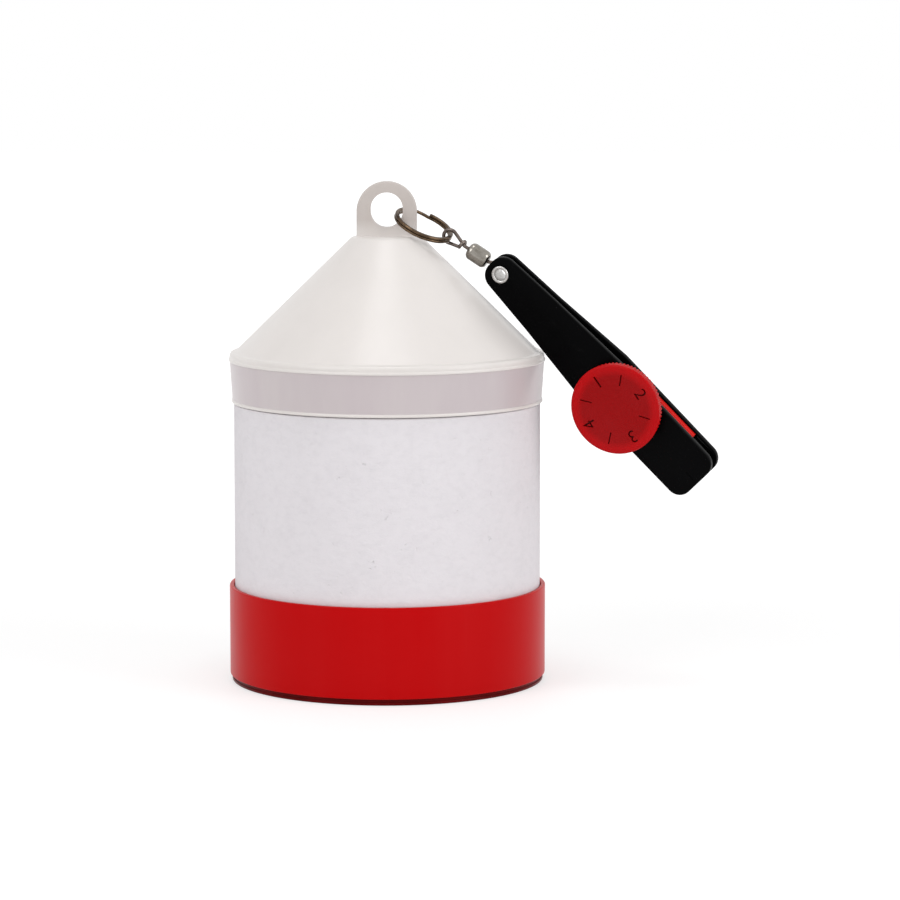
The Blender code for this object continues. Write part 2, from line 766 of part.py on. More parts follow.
def build_insert(axes):
    """The threaded brass insert in the knob."""
    bore = SCREW_RADIUS + FINE_GAP
    low = KNOB_RECESS
    high = low + INSERT_LENGTH
    profile = [(bore, high), (bore + INSERT_WALL, high), (bore + INSERT_WALL, low), (bore, low)]
    insert = turned("knob_insert", profile, closed=True, steps=SMALL_TURN_STEPS)
    return place(insert, parts, axes, BRASS)


def build_screw(axes):
    """The tension screw: hexagon head in the rear leg, shank up into the knob."""
    pocket = -LEG_OUTER + SCREW_HEAD_POCKET - FINE_GAP
    end = KNOB_BASE + KNOB_RECESS + INSERT_LENGTH
    screw = cylinder("tension_screw", SCREW_RADIUS, pocket - SCREW_HEAD_HEIGHT / 2, end)
    place(screw, parts, axes, BRIGHT_STEEL)
    head = cylinder("screw_head", SCREW_HEAD_RADIUS, pocket - SCREW_HEAD_HEIGHT, pocket, sides=6)
    return join(screw, head)


def build_spring(axes):
    """The compression spring between the front leg and the knob."""
    low = LEG_OUTER - SPRING_SEAT_DEPTH + SPRING_WIRE_RADIUS + FINE_GAP
    high = KNOB_BASE + KNOB_RECESS - SPRING_WIRE_RADIUS - FINE_GAP
    count = round(SPRING_TURNS * SPRING_STEPS)
    coil = []
    for i in range(count + 1):
        angle = 2 * math.pi * SPRING_TURNS * i / count
        height = low + (high - low) * i / count
        coil.append((SPRING_RADIUS * math.cos(angle), SPRING_RADIUS * math.sin(angle), height))
    spring = wire("tension_spring", coil, SPRING_WIRE_RADIUS)
    return place(spring, parts, axes, BRIGHT_STEEL)


def leg_half_width(x):
    """The legs' half width at a place along them, leaving out the rounded corners."""
    share = min(max((x + LEG_HEAD_END) / (LEG_TAPER_END + LEG_HEAD_END), 0.0), 1.0)
    return (LEG_HEAD_WIDTH + (LEG_MIDDLE_WIDTH - LEG_HEAD_WIDTH) * share) / 2


def rim_clearance(axes):
    """How far the front leg's lower edge stays from the cap's rounded flange."""
    to_clip = axes.inverted()
    rim = (FLANGE_RADIUS - FLANGE_FILLET, SHELF_HEIGHT - FLANGE_FILLET)
    corner = arc(rim, FLANGE_FILLET, 0, 90, 6) + [(FLANGE_RADIUS, FLANGE_HEIGHT)]
    nearest = 1.0
    for step in range(-30, 31):
        angle = math.radians(step)
        for radius, height in corner:
            spoke = Vector((radius * math.cos(angle), radius * math.sin(angle), height))
            seen = to_clip @ spoke
            if abs(seen.z) < LEG_OUTER + SEAT_GAP and seen.x > 0:
                nearest = min(nearest, -seen.y - leg_half_width(seen.x))
    return nearest


def clip_lean(swivel):
    """The angle at which the clip, swung down about its eyelet, leans on the cap's flange."""
    low, high = -math.radians(60), math.radians(60)
    for _ in range(40):
        middle = (low + high) / 2
        swing = Matrix.Rotation(math.pi / 2, 4, "X") @ Matrix.Rotation(-middle, 4, "Z")
        axes = swivel @ Matrix.Translation((SWIVEL_LENGTH, 0, 0)) @ swing
        if rim_clearance(axes) > HANG_GAP:
            low = middle
        else:
            high = middle
    return low


clear_scene()
parts = collection("tuna_float")
cutters = collection("cutters")

WHITE_PLASTIC = finish("white_plastic", (0.80, 0.78, 0.75), 0.35)
WHITE_FOAM = finish("white_foam", (0.85, 0.83, 0.85), 0.85)
RED_PLASTIC = finish("red_plastic", (0.60, 0.01, 0.015), 0.35)
DARK_STEEL = finish("dark_steel", (0.16, 0.12, 0.08), 0.30, 1.0)
BRIGHT_STEEL = finish("bright_steel", (0.55, 0.53, 0.50), 0.25, 1.0)
BLACK_NYLON = finish("black_nylon", (0.008, 0.008, 0.009), 0.45)
RED_RUBBER = finish("red_rubber", (0.75, 0.03, 0.02), 0.6)
BRASS = finish("brass", (0.60, 0.42, 0.16), 0.35, 1.0)

build_cup()
build_foam()
build_cap()

ring_reach = ring_centre()
hang = Vector((0, 0, EYE_CENTRE_HEIGHT)) + ring_turn() @ Vector((ring_reach, 0, 0))
ring_axes = frame("ring_axes", None, hang, (RING_ROLL, RING_DIP, 0))
build_ring(ring_axes)

swivel_axes = frame("swivel_axes", ring_axes, (RING_WIRE_CENTRE, 0, 0), (0, SWIVEL_DIP, SWIVEL_YAW))
build_upper_eye(swivel_axes)
barrel_axes = frame("barrel_axes", swivel_axes, (BARREL_START, 0, 0))
build_barrel(barrel_axes)
pin_place = (SWIVEL_LENGTH, 0, 0)
lower_axes = frame("lower_eye_axes", swivel_axes, pin_place)
build_lower_eye(lower_axes)

bpy.context.view_layer.update()
lean = clip_lean(swivel_axes.matrix_world)
clip_axes = frame("clip_axes", swivel_axes, pin_place, (math.pi / 2, 0, -lean), "ZYX")
build_front_leg(clip_axes)
build_pad("front_pad", 1, clip_axes)
build_eyelet(clip_axes)
spring_axes = frame("spring_axes", clip_axes, (KNOB_PLACE, 0, 0))
build_spring(spring_axes)

rear_axes = frame("rear_axes", clip_axes)
build_rear_leg(rear_axes)
build_pad("rear_pad", -1, rear_axes)
screw_axes = frame("screw_axes", rear_axes, (KNOB_PLACE, 0, 0))
build_screw(screw_axes)

knob_axes = frame("knob_axes", rear_axes, (KNOB_PLACE, 0, KNOB_BASE))
build_knob(knob_axes)
build_insert(knob_axes)
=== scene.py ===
"""Looks of the tuna float: the float's moulded cap, foam and cup, the chain on its eye and the
release clip, each modelled over its solid from the frame and given its own finish.
"""

import json
import logging
import math
from collections.abc import Callable, Iterator, Sequence
from contextlib import contextmanager
from dataclasses import dataclass, field
from enum import Enum
from typing import Any

import bmesh
import bpy
from mathutils import Matrix, Vector


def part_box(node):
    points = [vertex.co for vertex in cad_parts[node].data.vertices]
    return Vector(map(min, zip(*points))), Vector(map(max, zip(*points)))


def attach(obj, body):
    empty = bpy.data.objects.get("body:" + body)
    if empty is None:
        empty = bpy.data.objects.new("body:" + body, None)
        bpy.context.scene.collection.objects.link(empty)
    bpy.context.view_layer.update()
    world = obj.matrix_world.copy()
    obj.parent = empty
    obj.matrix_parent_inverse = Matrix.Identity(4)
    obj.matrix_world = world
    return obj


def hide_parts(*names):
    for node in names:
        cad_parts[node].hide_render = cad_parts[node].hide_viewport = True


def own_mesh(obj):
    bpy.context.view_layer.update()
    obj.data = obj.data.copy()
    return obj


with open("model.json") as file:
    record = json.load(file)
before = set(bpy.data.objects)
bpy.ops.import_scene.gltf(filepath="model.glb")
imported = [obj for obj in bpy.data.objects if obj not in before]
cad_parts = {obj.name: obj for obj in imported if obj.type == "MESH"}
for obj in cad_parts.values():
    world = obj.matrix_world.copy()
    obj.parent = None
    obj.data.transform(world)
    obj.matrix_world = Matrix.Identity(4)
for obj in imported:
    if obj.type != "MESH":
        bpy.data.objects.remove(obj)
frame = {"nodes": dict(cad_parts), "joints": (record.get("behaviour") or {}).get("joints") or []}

LOG = logging.getLogger("tuna_float")
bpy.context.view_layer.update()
JOINTS = {joint["name"]: joint for joint in frame["joints"]}
SAME_PLACE = 0.00002
WELD = 0.000002
PLASTIC_IOR = 1.48
SMOOTH_ANGLE = math.radians(32)
UPRIGHT = (math.pi / 2, 0, 0)
THROUGH = 0.01

RAYS = ("Is Camera Ray", "Is Glossy Ray", "Is Transmission Ray")

Profile = Sequence[tuple[float, float]]
Colour = tuple[float, float, float]


class Element(Enum):
    """What an edit-mode selection is made of."""

    VERT = "verts"
    EDGE = "edges"


def joint_place(name: str) -> Vector:
    """A joint's place in the frame."""
    return Vector(JOINTS[name]["pos_m"])


def joint_axis(name: str) -> Vector:
    """A joint's axis in the frame."""
    return Vector(JOINTS[name]["axis"])


def solid_reach(node: str, axes: Matrix, axis: int) -> tuple[float, float]:
    """How far a solid reaches along one of a piece's own axes.

    Args:
        node: The solid's node.
        axes: The piece's axes in the frame.
        axis: 0 for X, 1 for Y and 2 for Z.

    Returns:
        Its lowest and highest place.
    """
    back = axes.inverted()
    places = [(back @ vertex.co)[axis] for vertex in frame["nodes"][node].data.vertices]
    return min(places), max(places)


def share_between(value: float, low: float, high: float) -> float:
    """How far a value is from a low limit to a high one, held between 0 and 1."""
    return min(max((value - low) / (high - low), 0.0), 1.0)


def vertex_places(element: Any) -> list[Vector]:
    """Finds an element's corners.

    Args:
        element: A vertex, an edge or a face.

    Returns:
        The places of its corners, or of the vertex itself.
    """
    if isinstance(element, bmesh.types.BMVert):
        return [element.co]
    return [vertex.co for vertex in element.verts]


def on_ring(radius: float, height: float) -> Callable[[Any], bool]:
    """A test for what lies on a circle round Z.

    Args:
        radius: The circle's radius.
        height: The circle's height.

    Returns:
        A test that is true where every corner lies on the circle.
    """

    def test(element: Any) -> bool:
        """True where every corner lies on the circle."""
        return all(
            abs(math.hypot(co.x, co.y) - radius) < SAME_PLACE and abs(co.z - height) < SAME_PLACE
            for co in vertex_places(element)
        )

    return test


def at_place(**limits: tuple[float, float]) -> Callable[[Any], bool]:
    """A test for what lies inside limits.

    Args:
        **limits: The lowest and highest value of x, y or z.

    Returns:
        A test that is true where every corner lies inside the limits.
    """

    def test(element: Any) -> bool:
        """True where every corner lies inside the limits."""
        return all(
            low - SAME_PLACE <= getattr(co, axis) <= high + SAME_PLACE
            for co in vertex_places(element)
            for axis, (low, high) in limits.items()
        )

    return test


def axes_matrix(origin: Sequence[float], x: Vector, y: Vector, z: Vector) -> Matrix:
    """The matrix that carries local places onto three axes.

    Args:
        origin: Where the axes start.
        x: The first axis.
        y: The second axis.
        z: The third axis.

    Returns:
        The matrix.
    """
    turn = Matrix((x.normalized(), y.normalized(), z.normalized())).transposed().to_4x4()
    return Matrix.Translation(origin) @ turn


class Workpiece:
    """A mesh on the bench, shaped with edit-mode operators and then put in its place."""

    def __init__(self, obj: bpy.types.Object, name: str) -> None:
        """Takes an object that an operator has just added.

        Args:
            obj: The object.
            name: The piece's name.
        """
        self.obj = obj
        self.obj.name = name
        self.obj.data.name = name

    @classmethod
    def from_primitive(cls, name: str, add: Callable[..., Any], **settings: Any) -> "Workpiece":
        """Adds a primitive at its size and place, with its object at the origin.

        Args:
            name: The piece's name.
            add: The primitive's operator.
            **settings: The operator's settings.

        Returns:
            The new piece.
        """
        bpy.ops.object.select_all(action="DESELECT")
        add(**settings)
        bpy.ops.object.transform_apply(location=True, rotation=True, scale=True)
        return cls(bpy.context.object, name)

    @classmethod
    def block(cls, name: str, low: Sequence[float], high: Sequence[float]) -> "Workpiece":
        """A block between two corners.

        Args:
            name: The piece's name.
            low: Its lowest corner.
            high: Its highest corner.

        Returns:
            The new piece.
        """
        middle = [(a + b) / 2 for a, b in zip(low, high)]
        size = [b - a for a, b in zip(low, high)]
        add = bpy.ops.mesh.primitive_cube_add
        return cls.from_primitive(name, add, size=1.0, location=middle, scale=size)

    @classmethod
    def rod(
        cls, name: str, radius: float, low: float, high: float, x: float = 0.0, sides: int = 64
    ) -> "Workpiece":
        """A rod along Z.

        Args:
            name: The piece's name.
            radius: The rod's radius.
            low: Its lower end.
            high: Its upper end.
            x: Its axis's place along X.
            sides: How many sides it has.

        Returns:
            The new piece.
        """
        return cls.from_primitive(
            name,
            bpy.ops.mesh.primitive_cylinder_add,
            vertices=sides,
            radius=radius,
            depth=high - low,
            location=(x, 0, (low + high) / 2),
        )

    @classmethod
    def disc(cls, name: str, radius: float, width: float, height: float, sides: int) -> "Workpiece":
        """A disc that stands upright over the origin, with its axis along Y.

        Args:
            name: The piece's name.
            radius: The disc's radius.
            width: Its thickness.
            height: The height of its middle.
            sides: How many sides it has.

        Returns:
            The new piece.
        """
        return cls.from_primitive(
            name,
            bpy.ops.mesh.primitive_cylinder_add,
            vertices=sides,
            radius=radius,
            depth=width,
            rotation=UPRIGHT,
            location=(0, 0, height),
        )

    @classmethod
    def turned(
        cls, name: str, profile: Profile, sides: int = 128, closed: bool = False
    ) -> "Workpiece":
        """A turned shape: a circle extruded and resized from station to station.

        Args:
            name: The piece's name.
            profile: The stations, as radius and height.
            sides: How many vertices each station has.
            closed: True if the last station meets the first, as round a bore. Otherwise a disc
                closes each end.

        Returns:
            The new piece.
        """
        radius, height = profile[0]
        piece = cls.from_primitive(
            name,
            bpy.ops.mesh.primitive_circle_add,
            vertices=sides,
            radius=radius,
            fill_type="NOTHING" if closed else "NGON",
            location=(0, 0, height),
        )
        stations = [*profile[1:], profile[0]] if closed else profile[1:]
        with piece.editing():
            for next_radius, next_height in stations:
                rise = {"value": (0, 0, next_height - height)}
                bpy.ops.mesh.extrude_region_move(TRANSFORM_OT_translate=rise)
                grow = next_radius / radius
                centre = (0, 0, next_height)
                bpy.ops.transform.resize(value=(grow, grow, 1), center_override=centre)
                radius, height = next_radius, next_height
        return piece.welded()

    @classmethod
    def wire(
        cls,
        name: str,
        path: Sequence[Sequence[float]],
        radius: float,
        scales: Sequence[float] = (),
        sides: int = 5,
    ) -> "Workpiece":
        """A round wire along a path, with closed ends.

        Args:
            name: The piece's name.
            path: The points of its centre line.
            radius: The wire's radius.
            scales: A factor on the radius at each point, or nothing for an even wire.
            sides: The curve's bevel resolution.

        Returns:
            The new piece.
        """
        bpy.ops.object.select_all(action="DESELECT")
        bpy.ops.curve.primitive_nurbs_path_add(location=(0, 0, 0))
        obj = bpy.context.object
        obj.data.splines.clear()
        spline = obj.data.splines.new("POLY")
        spline.points.add(len(path) - 1)
        for index, place in enumerate(path):
            spline.points[index].co = (*place, 1)
            spline.points[index].radius = scales[index] if scales else 1.0
        obj.data.bevel_depth = radius
        obj.data.bevel_resolution = sides
        obj.data.use_fill_caps = True
        bpy.ops.object.convert(target="MESH")
        return cls(bpy.context.object, name).welded()

    @contextmanager
    def editing(self) -> Iterator[None]:
        """Edit mode on this piece alone, with all of it selected at the start."""
        bpy.ops.object.select_all(action="DESELECT")
        self.obj.select_set(True)
        bpy.context.view_layer.objects.active = self.obj
        bpy.ops.object.mode_set(mode="EDIT")
        bpy.ops.mesh.select_all(action="SELECT")
        yield
        bpy.ops.object.mode_set(mode="OBJECT")

    def pick(self, kind: Element, test: Callable[[Any], bool]) -> int:
        """Selects elements in edit mode.

        Args:
            kind: What is selected.
            test: True for an element that is wanted.

        Returns:
            How many were selected.
        """
        bpy.ops.mesh.select_mode(type=kind.name)
        bpy.ops.mesh.select_all(action="DESELECT")
        shape = bmesh.from_edit_mesh(self.obj.data)
        chosen = [element for element in getattr(shape, kind.value) if test(element)]
        for element in chosen:
            element.select_set(True)
        shape.select_flush_mode()
        bmesh.update_edit_mesh(self.obj.data)
        return len(chosen)

    def rounded(
        self, test: Callable[[Any], bool], width: float, segments: int = 4
    ) -> "Workpiece":
        """Bevels the edges that a test finds.

        Args:
            test: True for an edge that is rounded.
            width: How far the round reaches from the edge.
            segments: How many faces the round has.

        Returns:
            This piece.
        """
        with self.editing():
            if self.pick(Element.EDGE, test):
                bpy.ops.mesh.bevel(offset=width, segments=segments, affect="EDGES")
        return self

    def resized(
        self, test: Callable[[Any], bool], value: Sequence[float], centre: Sequence[float]
    ) -> "Workpiece":
        """Scales the vertices that a test finds.

        Args:
            test: True for a vertex that moves.
            value: The factor along each axis.
            centre: The place that stays.

        Returns:
            This piece.
        """
        with self.editing():
            if self.pick(Element.VERT, test):
                bpy.ops.transform.resize(value=value, center_override=centre)
        return self

    def sliced(self, place: Sequence[float], normal: Sequence[float]) -> "Workpiece":
        """Bisects the piece by a plane, and keeps both sides.

        Args:
            place: A place on the plane.
            normal: The plane's normal.

        Returns:
            This piece.
        """
        with self.editing():
            bpy.ops.mesh.bisect(plane_co=place, plane_no=normal)
        return self

    def welded(self) -> "Workpiece":
        """Merges doubles and turns the faces outwards.

        Returns:
            This piece.
        """
        with self.editing():
            bpy.ops.mesh.remove_doubles(threshold=WELD)
            bpy.ops.mesh.normals_make_consistent(inside=False)
        return self

    def combined(self, tool: "Workpiece", operation: str) -> "Workpiece":
        """Applies a Boolean with a tool, and removes the tool.

        Args:
            tool: The other piece.
            operation: DIFFERENCE, UNION or INTERSECT.

        Returns:
            This piece.
        """
        step = self.obj.modifiers.new(tool.obj.name, "BOOLEAN")
        step.operation = operation
        step.object = tool.obj
        step.solver = "EXACT"
        bpy.context.view_layer.objects.active = self.obj
        bpy.ops.object.modifier_apply(modifier=step.name)
        bpy.data.objects.remove(tool.obj, do_unlink=True)
        return self

    def cut(self, *tools: "Workpiece") -> "Workpiece":
        """Cuts tools out of the piece.

        Args:
            *tools: The pieces that are cut out.

        Returns:
            This piece.
        """
        for tool in tools:
            self.combined(tool, "DIFFERENCE")
        return self

    def fused(self, *tools: "Workpiece") -> "Workpiece":
        """Unites tools with the piece.

        Args:
            *tools: The pieces that are added.

        Returns:
            This piece.
        """
        for tool in tools:
            self.combined(tool, "UNION")
        return self

    def moved(self, place: Matrix) -> "Workpiece":
        """Carries the mesh, with its object at the origin, to a place."""
        self.obj.data.transform(place)
        return self

    def dressed(self, finish: "Finish", body: str, node: str, slot: str) -> bpy.types.Object:
        """Gives the finished piece its material and its place in the frame.

        Args:
            finish: Its finish.
            body: The body that it rides on.
            node: The solid that it stands for.
            slot: The record's material slot; not used.

        Returns:
            The finished object.
        """
        bpy.ops.object.select_all(action="DESELECT")
        self.obj.select_set(True)
        bpy.context.view_layer.objects.active = self.obj
        bpy.ops.object.shade_smooth_by_angle(angle=SMOOTH_ANGLE)
        self.obj.data.materials.clear()
        self.obj.data.materials.append(finish.material())
        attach(self.obj, body)
        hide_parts(node)
        LOG.info("%s: %d faces on %s", self.obj.name, len(self.obj.data.polygons), body)
        return self.obj


class Signal:
    """A shader socket that Python's operators build Math nodes from."""

    def __init__(self, recipe: "Recipe", socket: bpy.types.NodeSocket) -> None:
        """Wraps an output socket of a recipe."""
        self.recipe = recipe
        self.socket = socket

    def _math(self, operation: str, first: Any, second: Any) -> "Signal":
        """A Math node on two values."""
        node = self.recipe.node("ShaderNodeMath", {"operation": operation}, {0: first, 1: second})
        return Signal(self.recipe, node.outputs[0])

    def __add__(self, other: Any) -> "Signal":
        """self + other."""
        return self._math("ADD", self, other)

    def __radd__(self, other: Any) -> "Signal":
        """other + self."""
        return self._math("ADD", other, self)

    def __sub__(self, other: Any) -> "Signal":
        """self - other."""
        return self._math("SUBTRACT", self, other)

    def __rsub__(self, other: Any) -> "Signal":
        """other - self."""
        return self._math("SUBTRACT", other, self)

    def __mul__(self, other: Any) -> "Signal":
        """self * other."""
        return self._math("MULTIPLY", self, other)

    def __rmul__(self, other: Any) -> "Signal":
        """other * self."""
        return self._math("MULTIPLY", other, self)

    def over(self, level: float, width: float) -> "Signal":
        """How far the value is past a level.

        Args:
            level: Where the result leaves 0.
            width: How much further it reaches 1.

        Returns:
            The result, from 0 to 1.
        """
        values = {0: self, 1: level, 2: level + width, 3: 0.0, 4: 1.0}
        node = self.recipe.node("ShaderNodeMapRange", {"clamp": True}, values)
        return Signal(self.recipe, node.outputs[0])


class Recipe:
    """The node tree of one material, written from its Principled shader back."""

    def __init__(self, name: str) -> None:
        """Starts a material with a Principled shader.

        Args:
            name: The material's name.
        """
        self.material = bpy.data.materials.new(name)
        self.material.use_nodes = True
        self.tree = self.material.node_tree
        self.shader = self.tree.nodes["Principled BSDF"]

    def node(
        self,
        kind: str,
        settings: dict[str, Any] | None = None,
        values: dict[Any, Any] | None = None,
    ) -> bpy.types.Node:
        """Adds a node.

        Args:
            kind: The node's type.
            settings: Its settings, which are set first.
            values: The values or links of its sockets, by name or number.

        Returns:
            The node.
        """
        made = self.tree.nodes.new(kind)
        for name, value in (settings or {}).items():
            setattr(made, name, value)
        for name, value in (values or {}).items():
            self.feed(made.inputs[name], value)
        return made

    def feed(self, socket: bpy.types.NodeSocket, value: Any) -> None:
        """Links a socket, or sets its own value.

        Args:
            socket: The input socket.
            value: A signal or an output that is linked, or a plain value.
        """
        if isinstance(value, Signal):
            self.tree.links.new(value.socket, socket)
        elif isinstance(value, bpy.types.NodeSocket):
            self.tree.links.new(value, socket)
        else:
            socket.default_value = value

    def place(self, scale: Sequence[float] = (1, 1, 1), turn: Matrix | None = None) -> Any:
        """Object coordinates, turned into a piece's own axes and then stretched.

        Args:
            scale: The factor along each axis.
            turn: The piece's axes in the frame, or nothing for the frame's own.

        Returns:
            The coordinates' socket.
        """
        place = self.node("ShaderNodeTexCoord").outputs["Object"]
        if turn is not None:
            back = turn.inverted()
            values = {"Vector": place, "Location": back.translation, "Rotation": back.to_euler()}
            place = self.node("ShaderNodeMapping", {}, values).outputs[0]
        return self.node("ShaderNodeMapping", {}, {"Vector": place, "Scale": scale}).outputs[0]

    def along(self, place: Any, axis: int) -> Signal:
        """One coordinate of a place: 0 for X, 1 for Y and 2 for Z."""
        made = self.node("ShaderNodeSeparateXYZ", {}, {"Vector": place})
        return Signal(self, made.outputs[axis])

    def length(self, place: Any) -> Signal:
        """A place's distance from its origin."""
        made = self.node("ShaderNodeVectorMath", {"operation": "LENGTH"}, {0: place})
        return Signal(self, made.outputs["Value"])

    def noise(self, scale: float, place: Any, detail: float = 3.0, rough: float = 0.5) -> Signal:
        """A noise texture.

        Args:
            scale: How many lumps to a metre.
            place: The coordinates.
            detail: How many octaves it has.
            rough: The strength of its fine octaves.

        Returns:
            The noise, from 0 to 1.
        """
        values = {"Vector": place, "Scale": scale, "Detail": detail, "Roughness": rough}
        return Signal(self, self.node("ShaderNodeTexNoise", {}, values).outputs[0])

    def mix(self, share: Any, first: Any, second: Any) -> Any:
        """A blend of two colours.

        Args:
            share: The share of the second colour.
            first: The first colour or its socket.
            second: The second colour or its socket.

        Returns:
            The blend's socket.
        """
        made = self.node("ShaderNodeMix", {"data_type": "RGBA"})
        self.feed(made.inputs[0], share)
        for socket, value in ((made.inputs[6], first), (made.inputs[7], second)):
            self.feed(socket, (*value, 1) if isinstance(value, tuple) else value)
        return made.outputs[2]

    def bump(self, height: Signal, distance: float) -> None:
        """Raises the shader's normal.

        Args:
            height: The height, from 0 to 1.
            distance: What the full height is, in metres.
        """
        values = {"Height": height, "Distance": distance, "Strength": 1.0}
        made = self.node("ShaderNodeBump", {}, values)
        self.feed(self.shader.inputs["Normal"], made.outputs[0])

    def set(self, **values: Any) -> None:
        """Sets sockets of the shader.

        Args:
            **values: Each socket's value or link, with an underscore for each space in its name.
        """
        for name, value in values.items():
            value = (*value, 1) if name == "Base_Color" and isinstance(value, tuple) else value
            self.feed(self.shader.inputs[name.replace("_", " ")], value)


@dataclass(frozen=True)
class Finish:
    """A surface finish, made once for each name."""

    name: str
    colour: Colour

    def material(self) -> bpy.types.Material:
        """Finds or makes the finish's material.

        Returns:
            The material.
        """
        known = bpy.data.materials.get(self.name)
        if known:
            return known
        recipe = Recipe(self.name)
        self.mix(recipe)
        return recipe.material

    def mix(self, recipe: Recipe) -> None:
        """Writes the finish's nodes."""
        recipe.set(Base_Color=self.colour)


@dataclass(frozen=True)
class MouldedPlastic(Finish):
    """Injection-moulded plastic: faint flow marks, a fine grain and small scuffs."""

    shade: Colour = (0.5, 0.5, 0.5)
    roughness: float = 0.35
    stretch: tuple[float, float, float] = (1.0, 1.0, 1.0)
    mottle: float = 0.3
    grain: float = 0.00002
    scuffs: float = 0.1
    gloss: float = 0.4
    axes: Matrix | None = field(default=None, compare=False)

    def tone(self, recipe: Recipe) -> Any:
        """The plastic's own colour, under its marks."""
        return self.colour

    def mix(self, recipe: Recipe) -> None:
        """Writes flow marks in the colour, scuffs in the roughness and grain in the bump.

        Args:
            recipe: The material that is written.
        """
        place = recipe.place(self.stretch, self.axes)
        flow = recipe.noise(55.0, place, 4.0, 0.6)
        fine = recipe.noise(900.0, recipe.place((1, 1, 1), self.axes), 2.0)
        scratch = recipe.noise(260.0, place, 5.0, 0.7).over(0.62, 0.12)
        share = flow.over(0.42, 0.3) * self.mottle + scratch * self.scuffs
        recipe.set(
            Base_Color=recipe.mix(share, self.tone(recipe), self.shade),
            Roughness=self.roughness + (flow - 0.5) * 0.12 + scratch * self.scuffs,
            IOR=PLASTIC_IOR,
            Specular_IOR_Level=self.gloss,
        )
        recipe.bump(fine * 0.5 + flow * 0.5, self.grain)


@dataclass(frozen=True)
class ExpandedFoam(Finish):
    """Cut expanded foam: shallow dents, a wrinkled grain and a few torn pits."""

    shade: Colour = (0.7, 0.68, 0.7)
    depth: float = 0.0007

    def mix(self, recipe: Recipe) -> None:
        """Writes dents, wrinkles and pits from noise at three scales.

        Args:
            recipe: The material that is written.
        """
        place = recipe.place()
        dents = recipe.noise(85.0, place, 3.0)
        wrinkles = recipe.noise(310.0, recipe.place((1, 1, 1.5)), 6.0, 0.68)
        pits = recipe.noise(620.0, place, 3.0).over(0.66, 0.1) * dents.over(0.5, 0.12)
        dark = wrinkles.over(0.46, 0.3) * 0.24 + dents.over(0.45, 0.3) * 0.10 + pits * 0.30
        recipe.set(
            Base_Color=recipe.mix(dark, self.colour, self.shade),
            Roughness=0.74 + wrinkles * 0.2,
            Specular_IOR_Level=0.3,
        )
        recipe.bump(dents * 0.55 + wrinkles * 0.35 - pits * 0.30, self.depth)


@dataclass(frozen=True)
class WornMetal(Finish):
    """Drawn or turned metal: polish marks along it, and tarnish in patches."""

    tarnish: Colour = (0.1, 0.08, 0.05)
    roughness: float = 0.25
    patches: float = 0.3

    def mix(self, recipe: Recipe) -> None:
        """Writes tarnish in the colour and roughness and fine marks in the bump.

        Args:
            recipe: The material that is written.
        """
        place = recipe.place()
        cloud = recipe.noise(420.0, place, 4.0, 0.6).over(0.42, 0.25)
        marks = recipe.noise(2600.0, place, 3.0)
        recipe.set(
            Base_Color=recipe.mix(cloud * self.patches, self.colour, self.tarnish),
            Metallic=1.0,
            Roughness=self.roughness + cloud * 0.12 + marks * 0.06,
        )
        recipe.bump(marks, 0.00001)


@dataclass(frozen=True)
class CapPlastic(MouldedPlastic):
    """The cap's plastic: white on the cone, with painted shade that greys the skirt and the lug,
    which face sideways under a light from above.
    """

    # Painted shade: the skirt's and the lug's greyer colours stand for the light that falls on them
    # from above.
    skirt: Colour = (0.5, 0.5, 0.5)
    lug_shade: Colour = (0.5, 0.5, 0.5)
    skirt_low: float = 0.0
    skirt_high: float = 0.0
    lug_low: float = 0.0
    lug_blend: float = 0.0055
    line: float = 0.0002

    def tone(self, recipe: Recipe) -> Any:
        """The cone's colour, and the painted shade of the skirt and the lug, by height.

        Args:
            recipe: The material that the colour is for.

        Returns:
            The colour's socket.
        """
        height = recipe.along(recipe.place(), 2)
        skirt_shade_share = height.over(self.skirt_low, self.line) - height.over(self.skirt_high, self.line)
        lug_shade_share = height.over(self.lug_low, self.lug_blend)
        below = recipe.mix(skirt_shade_share, self.colour, self.skirt)
        return recipe.mix(lug_shade_share, below, self.lug_shade)


@dataclass(frozen=True)
class CupPlastic(MouldedPlastic):
    """The cup's plastic: dark with painted shade in the groove round its foot."""

    # Painted shade: a dark red for the shade in the groove round the foot.
    groove_shade: Colour = (0.1, 0.1, 0.1)
    groove_top: float = 0.0019
    line: float = 0.0002

    def tone(self, recipe: Recipe) -> Any:
        """The wall's colour, and the groove's painted shade below it."""
        height = recipe.along(recipe.place(), 2)
        return recipe.mix(height.over(self.groove_top, self.line), self.groove_shade, self.colour)


